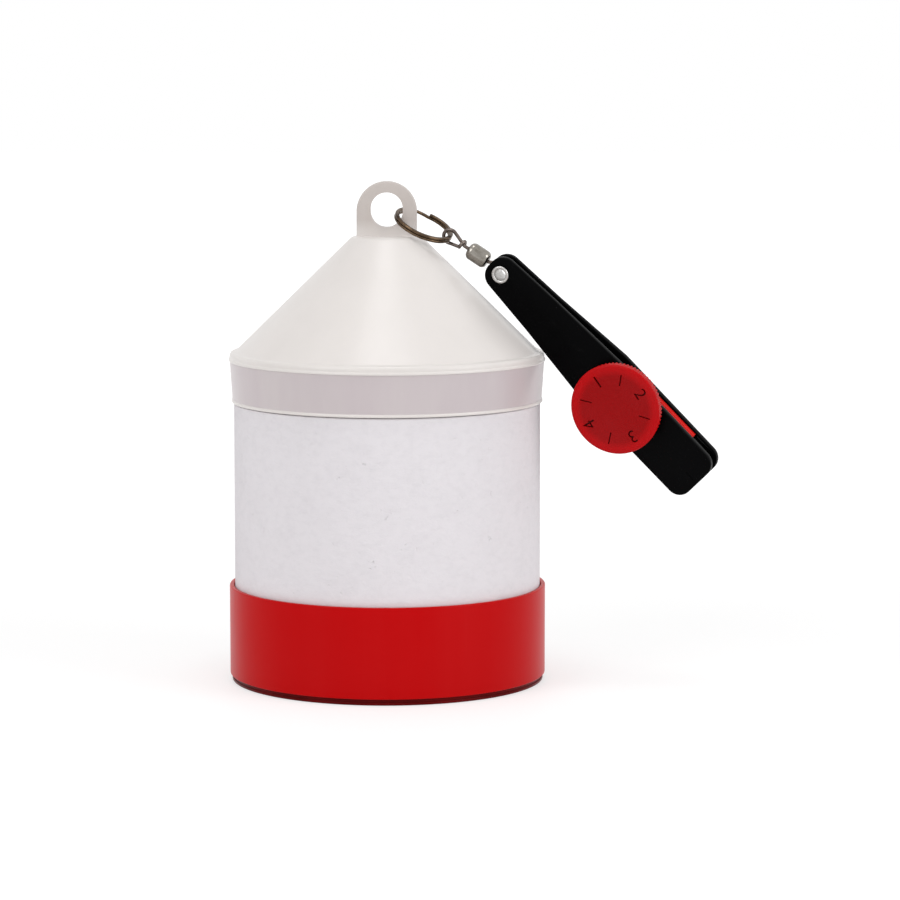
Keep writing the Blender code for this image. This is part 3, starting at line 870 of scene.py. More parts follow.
@dataclass(frozen=True)
class DialPlastic(MouldedPlastic):
    """The knob's plastic: a painted highlight at its rim, painted shade in the engraving, turned
    marks all over.
    """

    # Painted highlight: a brighter red towards the rim, where the raised edge catches the light.
    rim: Colour = (0.5, 0.5, 0.5)
    # Painted shade: a dark red inside the engraved marks.
    deep: Colour = (0.1, 0.1, 0.1)
    ring_pitch: float = 0.0005
    rim_light_start: float = 0.0112
    rim_light_blend: float = 0.0022
    engraved: float = 0.0035
    dial_end: float = 0.0130
    line: float = 0.0002

    def tone(self, recipe: Recipe) -> Any:
        """The face's colour, with the rim's painted highlight and the engraving's painted shade.

        Args:
            recipe: The material that the colour is for.

        Returns:
            The colour's socket.
        """
        radius = recipe.length(recipe.place((1, 1, 0), self.axes))
        height = recipe.along(recipe.place((1, 1, 1), self.axes), 2)
        face = recipe.mix(radius.over(self.rim_light_start, self.rim_light_blend), self.colour, self.rim)
        low = 1 - height.over(self.engraved, self.line)
        return recipe.mix(low * (1 - radius.over(self.dial_end, self.line)), face, self.deep)

    def mix(self, recipe: Recipe) -> None:
        """Adds concentric marks to the moulded finish.

        Args:
            recipe: The material that is written.
        """
        super().mix(recipe)
        radius = recipe.length(recipe.place((1, 1, 0), self.axes))
        wave = recipe.node("ShaderNodeMath", {"operation": "SINE"})
        recipe.feed(wave.inputs[0], radius * (2 * math.pi / self.ring_pitch))
        marks = Signal(recipe, wave.outputs[0])
        fine = recipe.noise(700.0, recipe.place((1, 1, 1), self.axes), 2.0)
        recipe.bump(marks * 0.35 + fine * 0.65, self.grain * 2)


FOAM = ExpandedFoam("expanded_foam", (0.785, 0.755, 0.782), (0.60, 0.575, 0.60))
RED_MOULDING = CupPlastic(
    "red_moulding",
    (0.515, 0.0012, 0.0022),
    (0.56, 0.02, 0.02),
    roughness=0.30,
    stretch=(1, 1, 0.06),
    mottle=0.10,
    scuffs=0.14,
    gloss=0.07,
    # Painted shade in the groove round the foot.
    groove_shade=(0.10, 0.0006, 0.0008),
)
BRONZED_STEEL = WornMetal("bronzed_steel", (0.125, 0.082, 0.05), (0.028, 0.019, 0.014), 0.20, 0.7)
SWIVEL_WIRE = WornMetal("swivel_wire", (0.17, 0.14, 0.125), (0.05, 0.037, 0.033), 0.22, 0.5)
NICKEL = WornMetal("nickel_plate", (0.31, 0.29, 0.26), (0.10, 0.085, 0.065), 0.15, 0.5)
BRIGHT_STEEL = WornMetal("polished_steel", (0.56, 0.55, 0.54), (0.24, 0.22, 0.20), 0.18, 0.3)
BRASS = WornMetal("insert_brass", (0.70, 0.50, 0.20), (0.40, 0.26, 0.10), 0.30, 0.4)
GRIP_RUBBER = MouldedPlastic(
    "grip_rubber",
    (0.70, 0.010, 0.006),
    (0.50, 0.01, 0.01),
    roughness=0.55,
    grain=0.00003,
    gloss=0.2,
)


@dataclass
class FloatBody:
    """The float itself: cup, foam and cap, all turned about Z."""

    wall: float = 0.0015
    rim_round: float = 0.00045
    rim_inner_round: float = 0.0003
    step_round: float = 0.0004
    foot_round: float = 0.0002
    groove_top: float = 0.0020
    groove_bottom: float = 0.0009
    groove_depth: float = 0.0011
    foot_inset: float = 0.0007
    flange_thickness: float = 0.0030
    flange_shelf: float = 0.0022
    flange_round: float = 0.0013
    cone_foot_round: float = 0.0006
    cone_top_round: float = 0.0012
    inner_top_ease: float = 0.2
    inner_foot_ease: float = 0.9
    collar_height: float = 0.0136
    collar_draft: float = 0.0008
    collar_overhang: float = 0.0004
    bead: float = 0.0003
    bead_height: float = 0.0008
    bead_round: float = 0.4
    bead_slope: float = 1.4
    skirt_start: float = 1.2
    cone_top_radius: float = 0.0114
    lug_height: float = 0.0181
    lug_width: float = 0.0200
    lug_thickness: float = 0.0044
    lug_edge: float = 0.0006
    lug_root: float = 0.001
    eye_width: float = 0.0106
    eye_height: float = 0.0115
    seat: float = 0.0003

    def cup(self) -> None:
        """The red cup: narrow rim, straight wall, and a groove above its foot."""
        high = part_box("base_cup")[1]
        outer, rim = high.x, high.z
        inner = outer - self.wall
        groove = outer - self.groove_depth
        foot = outer - self.foot_inset
        floor_edge = groove - self.wall
        step = self.groove_top + self.wall
        profile = [
            (floor_edge, self.wall),
            (floor_edge, step),
            (inner, step),
            (inner, rim),
            (outer, rim),
            (outer, self.groove_top),
            (groove, self.groove_top),
            (groove, self.groove_bottom),
            (foot, self.groove_bottom),
            (foot, 0.0),
        ]
        piece = Workpiece.turned("cup", profile)
        piece.rounded(on_ring(outer, rim), self.rim_round)
        piece.rounded(on_ring(inner, rim), self.rim_inner_round)
        piece.rounded(on_ring(outer, self.groove_top), self.step_round)
        for height in (0.0, self.groove_bottom):
            piece.rounded(on_ring(foot, height), self.foot_round, 2)
        piece.dressed(RED_MOULDING, "float", "base_cup", "red_plastic")

    def foam(self) -> None:
        """The foam: straight between cup and collar, stepped in under both."""
        low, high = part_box("foam_core")
        radius = high.x
        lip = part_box("cone_cap")[0].z - self.seat
        shelf = lip + self.collar_height
        neck = radius - self.wall
        foot = radius - self.groove_depth
        step = self.groove_top + self.wall + self.seat
        top_radius = self.cone_top_radius
        profile = [
            (foot, low.z),
            (foot, step),
            (radius, step),
            (radius, lip),
            (neck, lip),
            (neck, shelf),
            (top_radius, high.z),
        ]
        piece = Workpiece.turned("foam", profile, sides=160)
        piece.rounded(on_ring(radius, lip), self.step_round, 3)
        piece.dressed(FOAM, "float", "foam_core", "white_foam")

    def cap(self) -> None:
        """The white cap: collar, rounded flange, cone and the lug with its eye."""
        low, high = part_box("cone_cap")
        lip, flange_radius = low.z, high.x
        under = lip + self.collar_height
        shelf = under + self.flange_thickness
        cone_top = high.z - self.lug_height
        cone_base = flange_radius - self.flange_shelf
        collar_top = flange_radius - self.collar_overhang
        collar = collar_top - self.collar_draft
        face = flange_radius - self.bead
        drop = self.wall * math.sqrt(2)
        slope = (cone_base - self.cone_top_radius) / (cone_top - shelf)
        inner_top = cone_top - drop * 2
        bead_end = self.bead_height * self.bead_slope
        profile = [
            (self.cone_top_radius + drop * (slope - self.inner_top_ease), inner_top),
            (cone_base - drop * self.inner_foot_ease, shelf - drop),
            (collar_top - self.wall, under),
            (collar - self.wall, lip),
            (collar + self.bead, lip),
            (collar + self.bead, lip + self.bead_height),
            (collar, lip + bead_end),
            (collar_top, under),
            (flange_radius, under),
            (flange_radius, under + self.bead_height),
            (face, under + bead_end),
            (face, shelf),
            (cone_base, shelf),
            (self.cone_top_radius, cone_top),
        ]
        piece = Workpiece.turned("cap", profile, sides=160)
        piece.rounded(on_ring(face, shelf), self.flange_round, 6)
        piece.rounded(on_ring(cone_base, shelf), self.cone_foot_round)
        piece.rounded(on_ring(self.cone_top_radius, cone_top), self.cone_top_round, 5)
        for radius, base in ((flange_radius, under), (collar + self.bead, lip)):
            for height in (base, base + self.bead_height):
                piece.rounded(on_ring(radius, height), self.bead_height * self.bead_round, 3)
        piece.fused(self.lug(cone_top, high.z)).cut(self.eye(high.z))
        finish = self.white(lip + self.bead_height * self.skirt_start, under, cone_top)
        piece.dressed(finish, "float", "cone_cap", "white_plastic")

    def build(self) -> None:
        """Builds the float from the ground up."""
        self.cup()
        self.foam()
        self.cap()

    def white(self, skirt_low: float, skirt_high: float, lug_low: float) -> CapPlastic:
        """The cap's finish, with the heights where its skirt and its lug get painted shade.

        Args:
            skirt_low: Where the skirt starts, above the lip's bead.
            skirt_high: Where the skirt ends, under the flange.
            lug_low: Where the lug starts.

        Returns:
            The finish.
        """
        return CapPlastic(
            "white_moulding",
            (0.765, 0.725, 0.70),
            (0.69, 0.655, 0.63),
            roughness=0.30,
            stretch=(1, 1, 0.25),
            grain=0.00003,
            # Painted shade for the skirt and for the lug.
            skirt=(0.585, 0.52, 0.535),
            lug_shade=(0.53, 0.475, 0.445),
            skirt_low=skirt_low,
            skirt_high=skirt_high,
            lug_low=lug_low,
        )

    def lug(self, root: float, top: float) -> Workpiece:
        """The lug: a round plate whose lower half is drawn straight down into the cone.

        Args:
            root: The cone top's height.
            top: The lug's own top.

        Returns:
            The lug, still to be fused with the cap.
        """
        half = self.lug_width / 2
        centre = top - half
        piece = Workpiece.disc("lug", half, self.lug_thickness, centre, 96)
        with piece.editing():
            piece.pick(Element.VERT, at_place(z=(-1.0, centre - SAME_PLACE)))
            bpy.ops.transform.resize(value=(1, 1, 0), center_override=(0, 0, centre))
            bpy.ops.transform.translate(value=(0, 0, root - centre - self.lug_root))
        face = self.lug_thickness / 2
        piece.welded()
        for side in (-face, face):
            piece.rounded(at_place(y=(side, side)), self.lug_edge, 3)
        return piece

    def eye(self, top: float) -> Workpiece:
        """The eye through the lug, a little taller than it is wide.

        Args:
            top: The lug's top.

        Returns:
            The cutter.
        """
        centre = joint_place("ring_swing").z
        piece = Workpiece.disc("eye", self.eye_width / 2, self.lug_thickness * 3, centre, 72)
        straight = (self.eye_height - self.eye_width) / 2
        for sign in (-1, 1):
            limits = (centre, top) if sign > 0 else (0.0, centre - SAME_PLACE * 2)
            with piece.editing():
                piece.pick(Element.VERT, at_place(z=limits))
                bpy.ops.transform.translate(value=(0, 0, straight * sign))
        return piece


@dataclass
class Chain:
    """The split ring and the barrel swivel between the lug's eye and the clip."""

    ring_radius: float = 0.01025
    ring_wire: float = 0.0014
    ring_layer: float = 0.0009
    ring_pitch: float = 0.00096
    ring_end: float = math.radians(85)
    ring_flat: float = math.radians(315)
    ring_jog: float = math.radians(40)
    ring_corner: float = 0.42
    ring_step: float = math.radians(4)
    wire: float = 0.0006
    loop_steps: int = 40
    upper_loop: float = 0.0023
    upper_neck: float = 0.0052
    lower_loop: float = 0.0030
    lower_neck: float = 1.4
    head_radius: float = 0.0011
    head_length: float = 0.0010
    head_taper: float = 0.0001
    barrel_radius: float = 0.0030
    barrel_wall: float = 0.0008
    barrel_chamfer: float = 0.0009
    barrel_play: float = 0.00015
    shoulder_round: float = 0.0007
    mouth_round: float = 0.0003
    wraps: float = 0.75
    wrap_steps: int = 24
    wrap_start: float = 1.2
    wrap_pitch: float = 0.08
    wrap_gap: float = 0.00008

    def swivel_axes(self) -> Matrix:
        """The swivel's axes: X along it from the ring, Y across its loops.

        Returns:
            The axes in the frame, from where the swivel hangs on the ring.
        """
        along = joint_axis("barrel_spin")
        across = -joint_axis("clip_swing")
        return axes_matrix(joint_place("swivel_swing"), along, across, along.cross(across))

    def ring_axes(self) -> Matrix:
        """The ring's axes: X towards the swivel, Z along its normal.

        Returns:
            The axes in the frame, from the ring's middle.
        """
        hung = joint_place("swivel_swing")
        along = (hung - joint_place("ring_swing")).normalized()
        across = -joint_axis("swivel_swing")
        centre = hung - along * (self.ring_radius - self.ring_wire / 2)
        return axes_matrix(centre, along, across, along.cross(across))

    def ring(self) -> None:
        """The split ring: a flat section spun through two turns, with a jog between them."""
        middle = self.ring_radius - self.ring_wire / 2
        turn = self.ring_flat * 2 + self.ring_jog
        steps = round(turn / self.ring_step)
        add = bpy.ops.mesh.primitive_plane_add
        piece = Workpiece.from_primitive("ring", add, size=1.0, rotation=UPRIGHT)
        with piece.editing():
            bpy.ops.transform.resize(value=(self.ring_wire, 1, self.ring_layer))
            bpy.ops.transform.translate(value=(middle, 0, -self.ring_pitch / 2))
            corner = self.ring_layer * self.ring_corner
            bpy.ops.mesh.bevel(offset=corner, segments=4, affect="VERTICES")
            jog_steps = round(self.ring_jog / turn * steps)
            flat_steps = (steps - jog_steps) // 2
            for step in range(steps):
                bpy.ops.mesh.spin(steps=1, angle=-turn / steps, center=(0, 0, 0), axis=(0, 0, 1))
                if flat_steps <= step < flat_steps + jog_steps:
                    lift = self.ring_pitch / jog_steps
                    bpy.ops.transform.translate(value=(0, 0, lift))
        piece.welded()
        start = Matrix.Rotation(self.ring_end - turn, 4, "Z")
        piece.moved(self.ring_axes() @ start)
        piece.dressed(BRONZED_STEEL, "ring", "split_ring", "dark_steel")

    def build(self) -> None:
        """Builds the chain from the lug outwards."""
        self.ring()
        self.upper_eye()
        self.barrel()
        self.lower_eye()

    def eye_path(self, loop: float, neck: float, end: float) -> list[Vector]:
        """A wire eye in the XZ plane, from the head in the barrel round the loop to the neck.

        Args:
            loop: The loop's radius on the wire's centre line.
            neck: How far the neck is from the loop's middle.
            end: How far the wire's end is from the loop's middle.

        Returns:
            The points of its centre line.
        """
        opening = math.acos(loop / neck)
        head = end - self.head_length
        path = [Vector((x, 0, 0)) for x in (end, head, head - self.head_taper, neck + self.wire)]
        for step in range(self.loop_steps + 1):
            angle = opening + (2 * math.pi - opening * 2) * step / self.loop_steps
            path.append(Vector((loop * math.cos(angle), 0, loop * math.sin(angle))))
        return path

    def head_scales(self, count: int) -> list[float]:
        """The wire's thickness along an eye, with its first end upset into a head."""
        swollen = self.head_radius / self.wire
        return [swollen, swollen] + [1.0] * (count - 2)

    def upper_eye(self) -> None:
        """The upper eye, its tail wrapped round its own shank."""
        start = self.barrel_start()
        path = self.eye_path(self.upper_loop, self.upper_neck, start + self.barrel_wall * 3)
        wrap = self.wire * 2 + self.wrap_gap
        for step in range(round(self.wraps * self.wrap_steps) + 1):
            angle = -math.pi / 2 - 2 * math.pi * step / self.wrap_steps
            x = self.upper_neck - self.wire * (self.wrap_start - self.wrap_pitch * step)
            path.append(Vector((x, wrap * math.cos(angle), wrap * math.sin(angle))))
        piece = Workpiece.wire("upper_eye", path, self.wire, self.head_scales(len(path)))
        piece.moved(self.swivel_axes())
        piece.dressed(SWIVEL_WIRE, "swivel_eye", "swivel_upper_eye", "swivel_steel")

    def lower_eye(self) -> None:
        """The lower eye round the clip's eyelet."""
        gap = self.pin_place() - self.barrel_start() - self.barrel_length()
        neck = gap - self.wire * self.lower_neck
        path = self.eye_path(self.lower_loop, neck, gap + self.barrel_wall * 3)
        mirrored = [Vector((-place.x, place.y, place.z)) for place in path]
        piece = Workpiece.wire("lower_eye", mirrored, self.wire, self.head_scales(len(path)))
        piece.moved(self.swivel_axes() @ Matrix.Translation((self.pin_place(), 0, 0)))
        piece.dressed(SWIVEL_WIRE, "lower_eye", "swivel_lower_eye", "swivel_steel")

    def barrel_start(self) -> float:
        """How far along the swivel the barrel starts."""
        return (joint_place("barrel_spin") - joint_place("swivel_swing")).length

    def pin_place(self) -> float:
        """How far along the swivel the clip's eyelet is."""
        return (joint_place("clip_swing") - joint_place("swivel_swing")).length

    def barrel_length(self) -> float:
        """The barrel's length, from its solid's places along the swivel's axis."""
        low, high = solid_reach("swivel_barrel", self.swivel_axes(), 0)
        return high - low

    def barrel(self) -> None:
        """The barrel: a plated tube, necked in at both ends round the wires."""
        length = self.barrel_length()
        neck = self.wire + self.barrel_play
        inner = self.barrel_radius - self.barrel_wall
        shoulder = self.barrel_radius - self.barrel_chamfer
        wall, chamfer = self.barrel_wall, self.barrel_chamfer
        profile = [
            (neck, 0.0),
            (shoulder, 0.0),
            (self.barrel_radius, chamfer),
            (self.barrel_radius, length - chamfer),
            (shoulder, length),
            (neck, length),
            (neck, length - wall),
            (inner - chamfer, length - wall),
            (inner, length - wall - chamfer),
            (inner, wall + chamfer),
            (inner - chamfer, wall),
            (neck, wall),
        ]
        piece = Workpiece.turned("barrel", profile, sides=64, closed=True)
        for height in (chamfer, length - chamfer):
            piece.rounded(on_ring(self.barrel_radius, height), self.shoulder_round, 5)
        for height in (0.0, length):
            piece.rounded(on_ring(shoulder, height), self.mouth_round, 3)
        lay = Matrix.Rotation(math.pi / 2, 4, "Y")
        start = Matrix.Translation((self.barrel_start(), 0, 0))
        piece.moved(self.swivel_axes() @ start @ lay)
        piece.dressed(NICKEL, "barrel", "swivel_barrel", "swivel_steel")


@dataclass
class ReleaseClip:
    """The two-legged clip: legs, pads, eyelet, screw, spring and knob, in the clip's axes."""

    length: float = 0.0944
    thickness: float = 0.0026
    gap: float = 0.0044
    head_thickness: float = 0.0021
    head_gap: float = 0.0020
    flare_start: float = 0.0190
    head_width: float = 0.0114
    middle_width: float = 0.0190
    tip_width: float = 0.0184
    taper_end: float = 0.0480
    head_end: float = 0.0050
    corner: float = 0.0046
    edge: float = 0.0006
    inner_edge: float = 0.0003
    land_start: float = 0.0046
    land_end: float = 0.0182
    land_inset: float = 0.0006
    rib_place: float = 0.0378
    rib_length: float = 0.0026
    rib_inset: float = 0.0010
    nose_start: float = 0.0831
    nose_gap: float = 0.0022
    nose_inset: float = 0.0004
    mark_start: float = 0.0893
    mark_length: float = 0.0033
    mark_width: float = 0.0006
    mark_depth: float = 0.0002
    lead_length: float = 0.0090
    lead_depth: float = 0.0010
    pad_start: float = 0.0620
    pad_length: float = 0.0204
    pad_width: float = 0.0172
    pad_pocket: float = 0.0006
    pad_round: float = 0.0002
    bore: float = 0.0019
    bore_round: float = 0.8
    eyelet_wall: float = 0.0002
    eyelet_flange: float = 0.00295
    eyelet_lip: float = 0.0006
    eyelet_round: float = 0.55
    screw: float = 0.0019
    screw_head: float = 0.0040
    screw_head_height: float = 0.0026
    screw_head_edge: float = 0.0003
    screw_pocket: float = 0.0016
    screw_sway: float = 0.0006
    seat_radius: float = 0.0045
    seat_depth: float = 0.0006
    spring_wire: float = 0.00035
    spring_radius: float = 0.0034
    spring_turns: float = 2.4
    spring_steps: int = 32
    spring_keep: float = 0.45
    knob_radius: float = 0.0152
    knob_thickness: float = 0.0046
    knob_shoulder: Profile = ((0.0004, 0.0001), (0.0012, 0.0), (0.0020, 0.0001))
    knob_dish: Profile = ((0.60, 0.0005), (0.15, 0.0007))
    knob_chamfer: tuple[float, float] = (0.0006, 0.0005)
    knob_teeth: int = 72
    tooth_sides: int = 4
    valley_start: float = 0.4
    valley_end: float = 0.9
    knurl_depth: float = 0.0003
    lip_start: float = 0.0031
    lip_end: float = 0.0042
    lip_inset: float = 0.0003
    lip_round: float = 0.0002
    engraving: float = 0.0034
    dial_numbers: int = 4
    dial_start: float = 78.0
    numeral_size: float = 0.0060
    numeral_radius: float = 0.0104
    tick_width: float = 0.0004
    tick_start: float = 0.0082
    tick_end: float = 0.0122
    insert_wall: float = 0.0012
    play: float = 0.0003
    fine: float = 0.00015

    @property
    def inner(self) -> float:
        """The legs' inner faces, from the clip's middle plane."""
        return self.gap / 2

    @property
    def outer(self) -> float:
        """The legs' outer faces, from the clip's middle plane."""
        return self.inner + self.thickness

    @property
    def axes(self) -> Matrix:
        """The clip's axes: X along the legs from the eyelet, Z out of the front leg.

        Returns:
            The axes in the frame, from the eyelet's middle.
        """
        across = joint_axis("jaw_open")
        out = joint_axis("clip_swing")
        return axes_matrix(joint_place("clip_swing"), across.cross(out), across, out)

    @property
    def knob_place(self) -> Vector:
        """The knob's underside, in the clip's axes."""
        return self.axes.inverted() @ joint_place("knob_turn")

    @property
    def knob_recess(self) -> float:
        """How deep the spring sits in the knob: half the gap under it."""
        return (self.knob_place.z - self.outer) / 2

    def nylon(self) -> MouldedPlastic:
        """Black moulded nylon, scuffed along the legs.

        Returns:
            The finish.
        """
        return MouldedPlastic(
            "leg_nylon",
            (0.0011, 0.0011, 0.0013),
            (0.016, 0.016, 0.017),
            roughness=0.30,
            stretch=(0.35, 1, 1),
            mottle=0.06,
            grain=0.00004,
            scuffs=0.16,
            gloss=0.03,
            axes=self.axes,
        )

    def dial_red(self) -> DialPlastic:
        """The knob's red plastic, with its mould's turning marks, a painted highlight on its rim
        and painted shade in its engraving.

        Returns:
            The finish.
        """
        turn = self.axes @ Matrix.Translation(self.knob_place)
        return DialPlastic(
            "dial_plastic",
            (0.33, 0.003, 0.004),
            (0.36, 0.014, 0.017),
            roughness=0.36,
            mottle=0.25,
            scuffs=0.15,
            gloss=0.08,
            axes=turn,
            # Painted highlight on the rim.
            rim=(0.50, 0.003, 0.005),
            # Painted shade in the engraving.
            deep=(0.10, 0.001, 0.002),
        )

    def build(self) -> None:
        """Builds the clip, and the knob on it last."""
        self.front_leg()
        self.rear_leg()
        self.pad(1)
        self.pad(-1)
        self.eyelet()
        self.tension_screw()
        self.spring()
        self.knob()
        self.insert()

    def half_width(self, x: float) -> float:
        """The legs' half width at a place along them, leaving out the rounded corners."""
        share = share_between(x, -self.head_end, self.taper_end)
        return (self.head_width + (self.middle_width - self.head_width) * share) / 2

    def faces(self, x: float) -> tuple[float, float]:
        """A leg's two faces at a place along it, from the clip's middle plane.

        Args:
            x: The place.

        Returns:
            The inner and the outer face.
        """
        share = share_between(x, self.flare_start, self.taper_end)
        head_inner = self.head_gap / 2
        head_outer = head_inner + self.head_thickness
        inner = head_inner + (self.inner - head_inner) * share
        return inner, head_outer + (self.outer - head_outer) * share

    def rim_of(self, side: int) -> Callable[[Any], bool]:
        """A test for the edges round one of a leg's faces.

        Args:
            side: 0 for the inner face and 1 for the outer one.

        Returns:
            A test that is true for an edge of the face that borders the leg's side.
        """

        def test(edge: Any) -> bool:
            """True for an edge between the face and the leg's side."""
            heights = [co.z - self.faces(co.x)[side] for co in vertex_places(edge)]
            borders = any(abs(face.normal.z) < 0.5 for face in edge.link_faces)
            return borders and all(abs(height) < SAME_PLACE for height in heights)

        return test

    def leg(self, name: str) -> Workpiece:
        """A leg on the knob's side, with what both legs have.

        Args:
            name: The leg's name.

        Returns:
            The leg: a tapered plate that draws in at its head, with rounded ends and edges,
            the land it rocks on, the thick nose, the pad's pocket, the lead-in at its tip and
            the eyelet's hole.
        """
        half = self.middle_width / 2
        piece = Workpiece.block(
            name, (-self.head_end, -half, self.inner), (self.length, half, self.outer)
        )
        for place in (self.flare_start, self.taper_end):
            piece.sliced((place, 0, 0), (1, 0, 0))
        for place in (-self.head_end, self.flare_start, self.length):
            share = self.tip_width / self.middle_width
            if place < self.taper_end:
                share = self.half_width(place) / half
            piece.resized(at_place(x=(place, place)), (1, share, 1), (place, 0, 0))
        for side, height in enumerate((self.inner, self.outer)):
            head = at_place(x=(-self.head_end, self.flare_start), z=(height, height))
            with piece.editing():
                piece.pick(Element.VERT, head)
                bpy.ops.transform.translate(value=(0, 0, self.faces(0.0)[side] - height))
        for place in (-self.head_end, self.length):
            for reach in ((-half, 0.0), (0.0, half)):
                piece.rounded(self.upright(place, reach), self.corner, 10)
        piece.rounded(self.rim_of(1), self.edge, 3)
        piece.rounded(self.rim_of(0), self.inner_edge, 2)
        piece.fused(self.land(), self.nose())
        hole = self.bore + self.eyelet_wall + self.fine * 2
        return piece.cut(
            self.pad_block("pocket", 0.0, self.inner + self.pad_pocket, self.fine),
            self.lead_in(),
            Workpiece.rod("pin_hole", hole, 0.0, THROUGH),
        )

    def land(self) -> Workpiece:
        """The land that the legs rock on, as wide as they are less their rounded edges.

        Returns:
            The land, still to be fused with the leg.
        """
        near = self.half_width(self.land_start) - self.land_inset
        far = self.half_width(self.land_end) - self.land_inset
        top = self.faces(0.0)[0] + self.head_thickness / 3
        low = (self.land_start, -near, self.fine)
        piece = Workpiece.block("land", low, (self.land_end, near, top))
        widen = (1, far / near, 1)
        return piece.resized(at_place(x=(self.land_end, self.land_end)), widen, (0, 0, 0))

    def nose(self) -> Workpiece:
        """The thick end of a leg beyond its pad.

        Returns:
            The nose, still to be fused with the leg.
        """
        half = self.tip_width / 2 - self.nose_inset
        end = self.length - self.nose_inset
        low = (self.nose_start, -half, self.nose_gap / 2)
        piece = Workpiece.block("nose", low, (end, half, self.inner + self.thickness / 3))
        return piece.rounded(self.upright_at(end), self.corner - self.nose_inset, 8)

    def upright(self, place: float, reach: tuple[float, float]) -> Callable[[Any], bool]:
        """A test for a leg's upright edges.

        Args:
            place: Where they stand along the leg.
            reach: The lowest and highest place across it.

        Returns:
            A test that is true for an edge from the inner face to the outer one.
        """
        inside = at_place(x=(place, place), y=reach)

        def test(element: Any) -> bool:
            """True for an edge from the inner face to the outer one."""
            places = vertex_places(element)
            return inside(element) and abs(places[0].z - places[1].z) > self.head_thickness / 2

        return test

    def upright_at(self, place: float) -> Callable[[Any], bool]:
        """A test for a block's edges along Z.

        Args:
            place: Where they stand along the leg.

        Returns:
            A test that is true for such an edge.
        """
        inside = at_place(x=(place, place))

        def test(edge: Any) -> bool:
            """True for an edge at the place that runs along Z."""
            ends = vertex_places(edge)
            return inside(edge) and abs(ends[0].y - ends[1].y) < SAME_PLACE

        return test

    def lead_in(self) -> Workpiece:
        """The wedge that opens the jaw towards its tip.

        Returns:
            The cutter.
        """
        wide = self.middle_width
        piece = Workpiece.block("lead", (0, -wide, -self.gap), (self.lead_length * 2, wide, 0))
        lean = Matrix.Rotation(-math.atan2(self.lead_depth, self.lead_length), 4, "Y")
        start = Matrix.Translation((self.length - self.lead_length, 0, self.nose_gap / 2))
        return piece.moved(start @ lean)

    def pad_block(self, name: str, low: float, high: float, margin: float = 0.0) -> Workpiece:
        """A block with the pads' outline.

        Args:
            name: The block's name.
            low: Its lower face.
            high: Its upper face.
            margin: How much larger it is than a pad, all round.

        Returns:
            The block.
        """
        half = self.pad_width / 2 + margin
        start = self.pad_start - margin
        end = self.pad_start + self.pad_length + margin
        return Workpiece.block(name, (start, -half, low), (end, half, high))

    def front_leg(self) -> None:
        """The leg under the knob, with the screw's hole and the spring's seat."""
        place = self.knob_place.x
        piece = self.leg("clip_front_leg")
        piece.cut(
            Workpiece.rod("screw_hole", self.screw + self.screw_sway, 0.0, THROUGH, place),
            Workpiece.rod("seat", self.seat_radius, self.outer - self.seat_depth, THROUGH, place),
            self.gate_mark(),
        )
        piece.moved(self.axes)
        piece.dressed(self.nylon(), "clip_front", "front_leg", "black_nylon")

    def gate_mark(self) -> Workpiece:
        """The short groove near the front leg's tip.

        Returns:
            The cutter.
        """
        half = self.mark_width / 2
        low = (self.mark_start, -half, self.outer - self.mark_depth)
        high = (self.mark_start + self.mark_length, half, self.outer + self.thickness)
        return Workpiece.block("gate_mark", low, high)

    def rear_leg(self) -> None:
        """The leg that opens, with the stop rib and the screw head's pocket."""
        place = self.knob_place.x
        piece = self.leg("clip_rear_leg")
        half = self.half_width(self.rib_place) - self.rib_inset
        root = self.faces(self.rib_place)[0]
        rib_end = self.rib_place + self.rib_length
        low = (self.rib_place, -half, self.play - root)
        rib = Workpiece.block("rib", low, (rib_end, half, root + self.thickness / 3))
        pocket = self.outer - self.screw_pocket
        piece.fused(rib).cut(
            Workpiece.rod("screw_hole", self.screw + self.fine, 0.0, THROUGH, place),
            Workpiece.rod("head_pocket", self.screw_head + self.play, pocket, THROUGH, place),
        )
        piece.moved(Matrix.Scale(-1, 4, (0, 0, 1))).welded()
        piece.moved(self.axes)
        piece.dressed(self.nylon(), "clip_rear", "rear_leg", "black_nylon")

    def pad(self, side: int) -> None:
        """A grip pad, with a softened edge.

        Args:
            side: 1 for the front leg's pad and -1 for the rear leg's.
        """
        name = "front" if side > 0 else "rear"
        low, high = sorted((side * self.fine, side * (self.inner + self.pad_pocket - self.fine)))
        piece = self.pad_block(f"{name}_grip_pad", low, high)
        piece.rounded(lambda element: True, self.pad_round, 2)
        piece.moved(self.axes)
        piece.dressed(GRIP_RUBBER, f"clip_{name}", f"{name}_pad", "red_rubber")

    def eyelet(self) -> None:
        """The hollow rivet through the legs' heads, rolled over both faces."""
        tube = self.bore + self.eyelet_wall
        seat = self.faces(0.0)[1] + self.fine
        face = seat + self.eyelet_lip
        profile = [
            (self.bore, -face),
            (self.eyelet_flange, -face),
            (self.eyelet_flange, -seat),
            (tube, -seat),
            (tube, seat),
            (self.eyelet_flange, seat),
            (self.eyelet_flange, face),
            (self.bore, face),
        ]
        piece = Workpiece.turned("head_rivet", profile, sides=64, closed=True)
        for height in (-face, face):
            flange, bore = on_ring(self.eyelet_flange, height), on_ring(self.bore, height)
            piece.rounded(flange, self.eyelet_lip * self.eyelet_round, 4)
            piece.rounded(bore, self.eyelet_lip * self.bore_round, 4)
        piece.moved(self.axes)
        piece.dressed(BRIGHT_STEEL, "clip_front", "eyelet", "bright_steel")

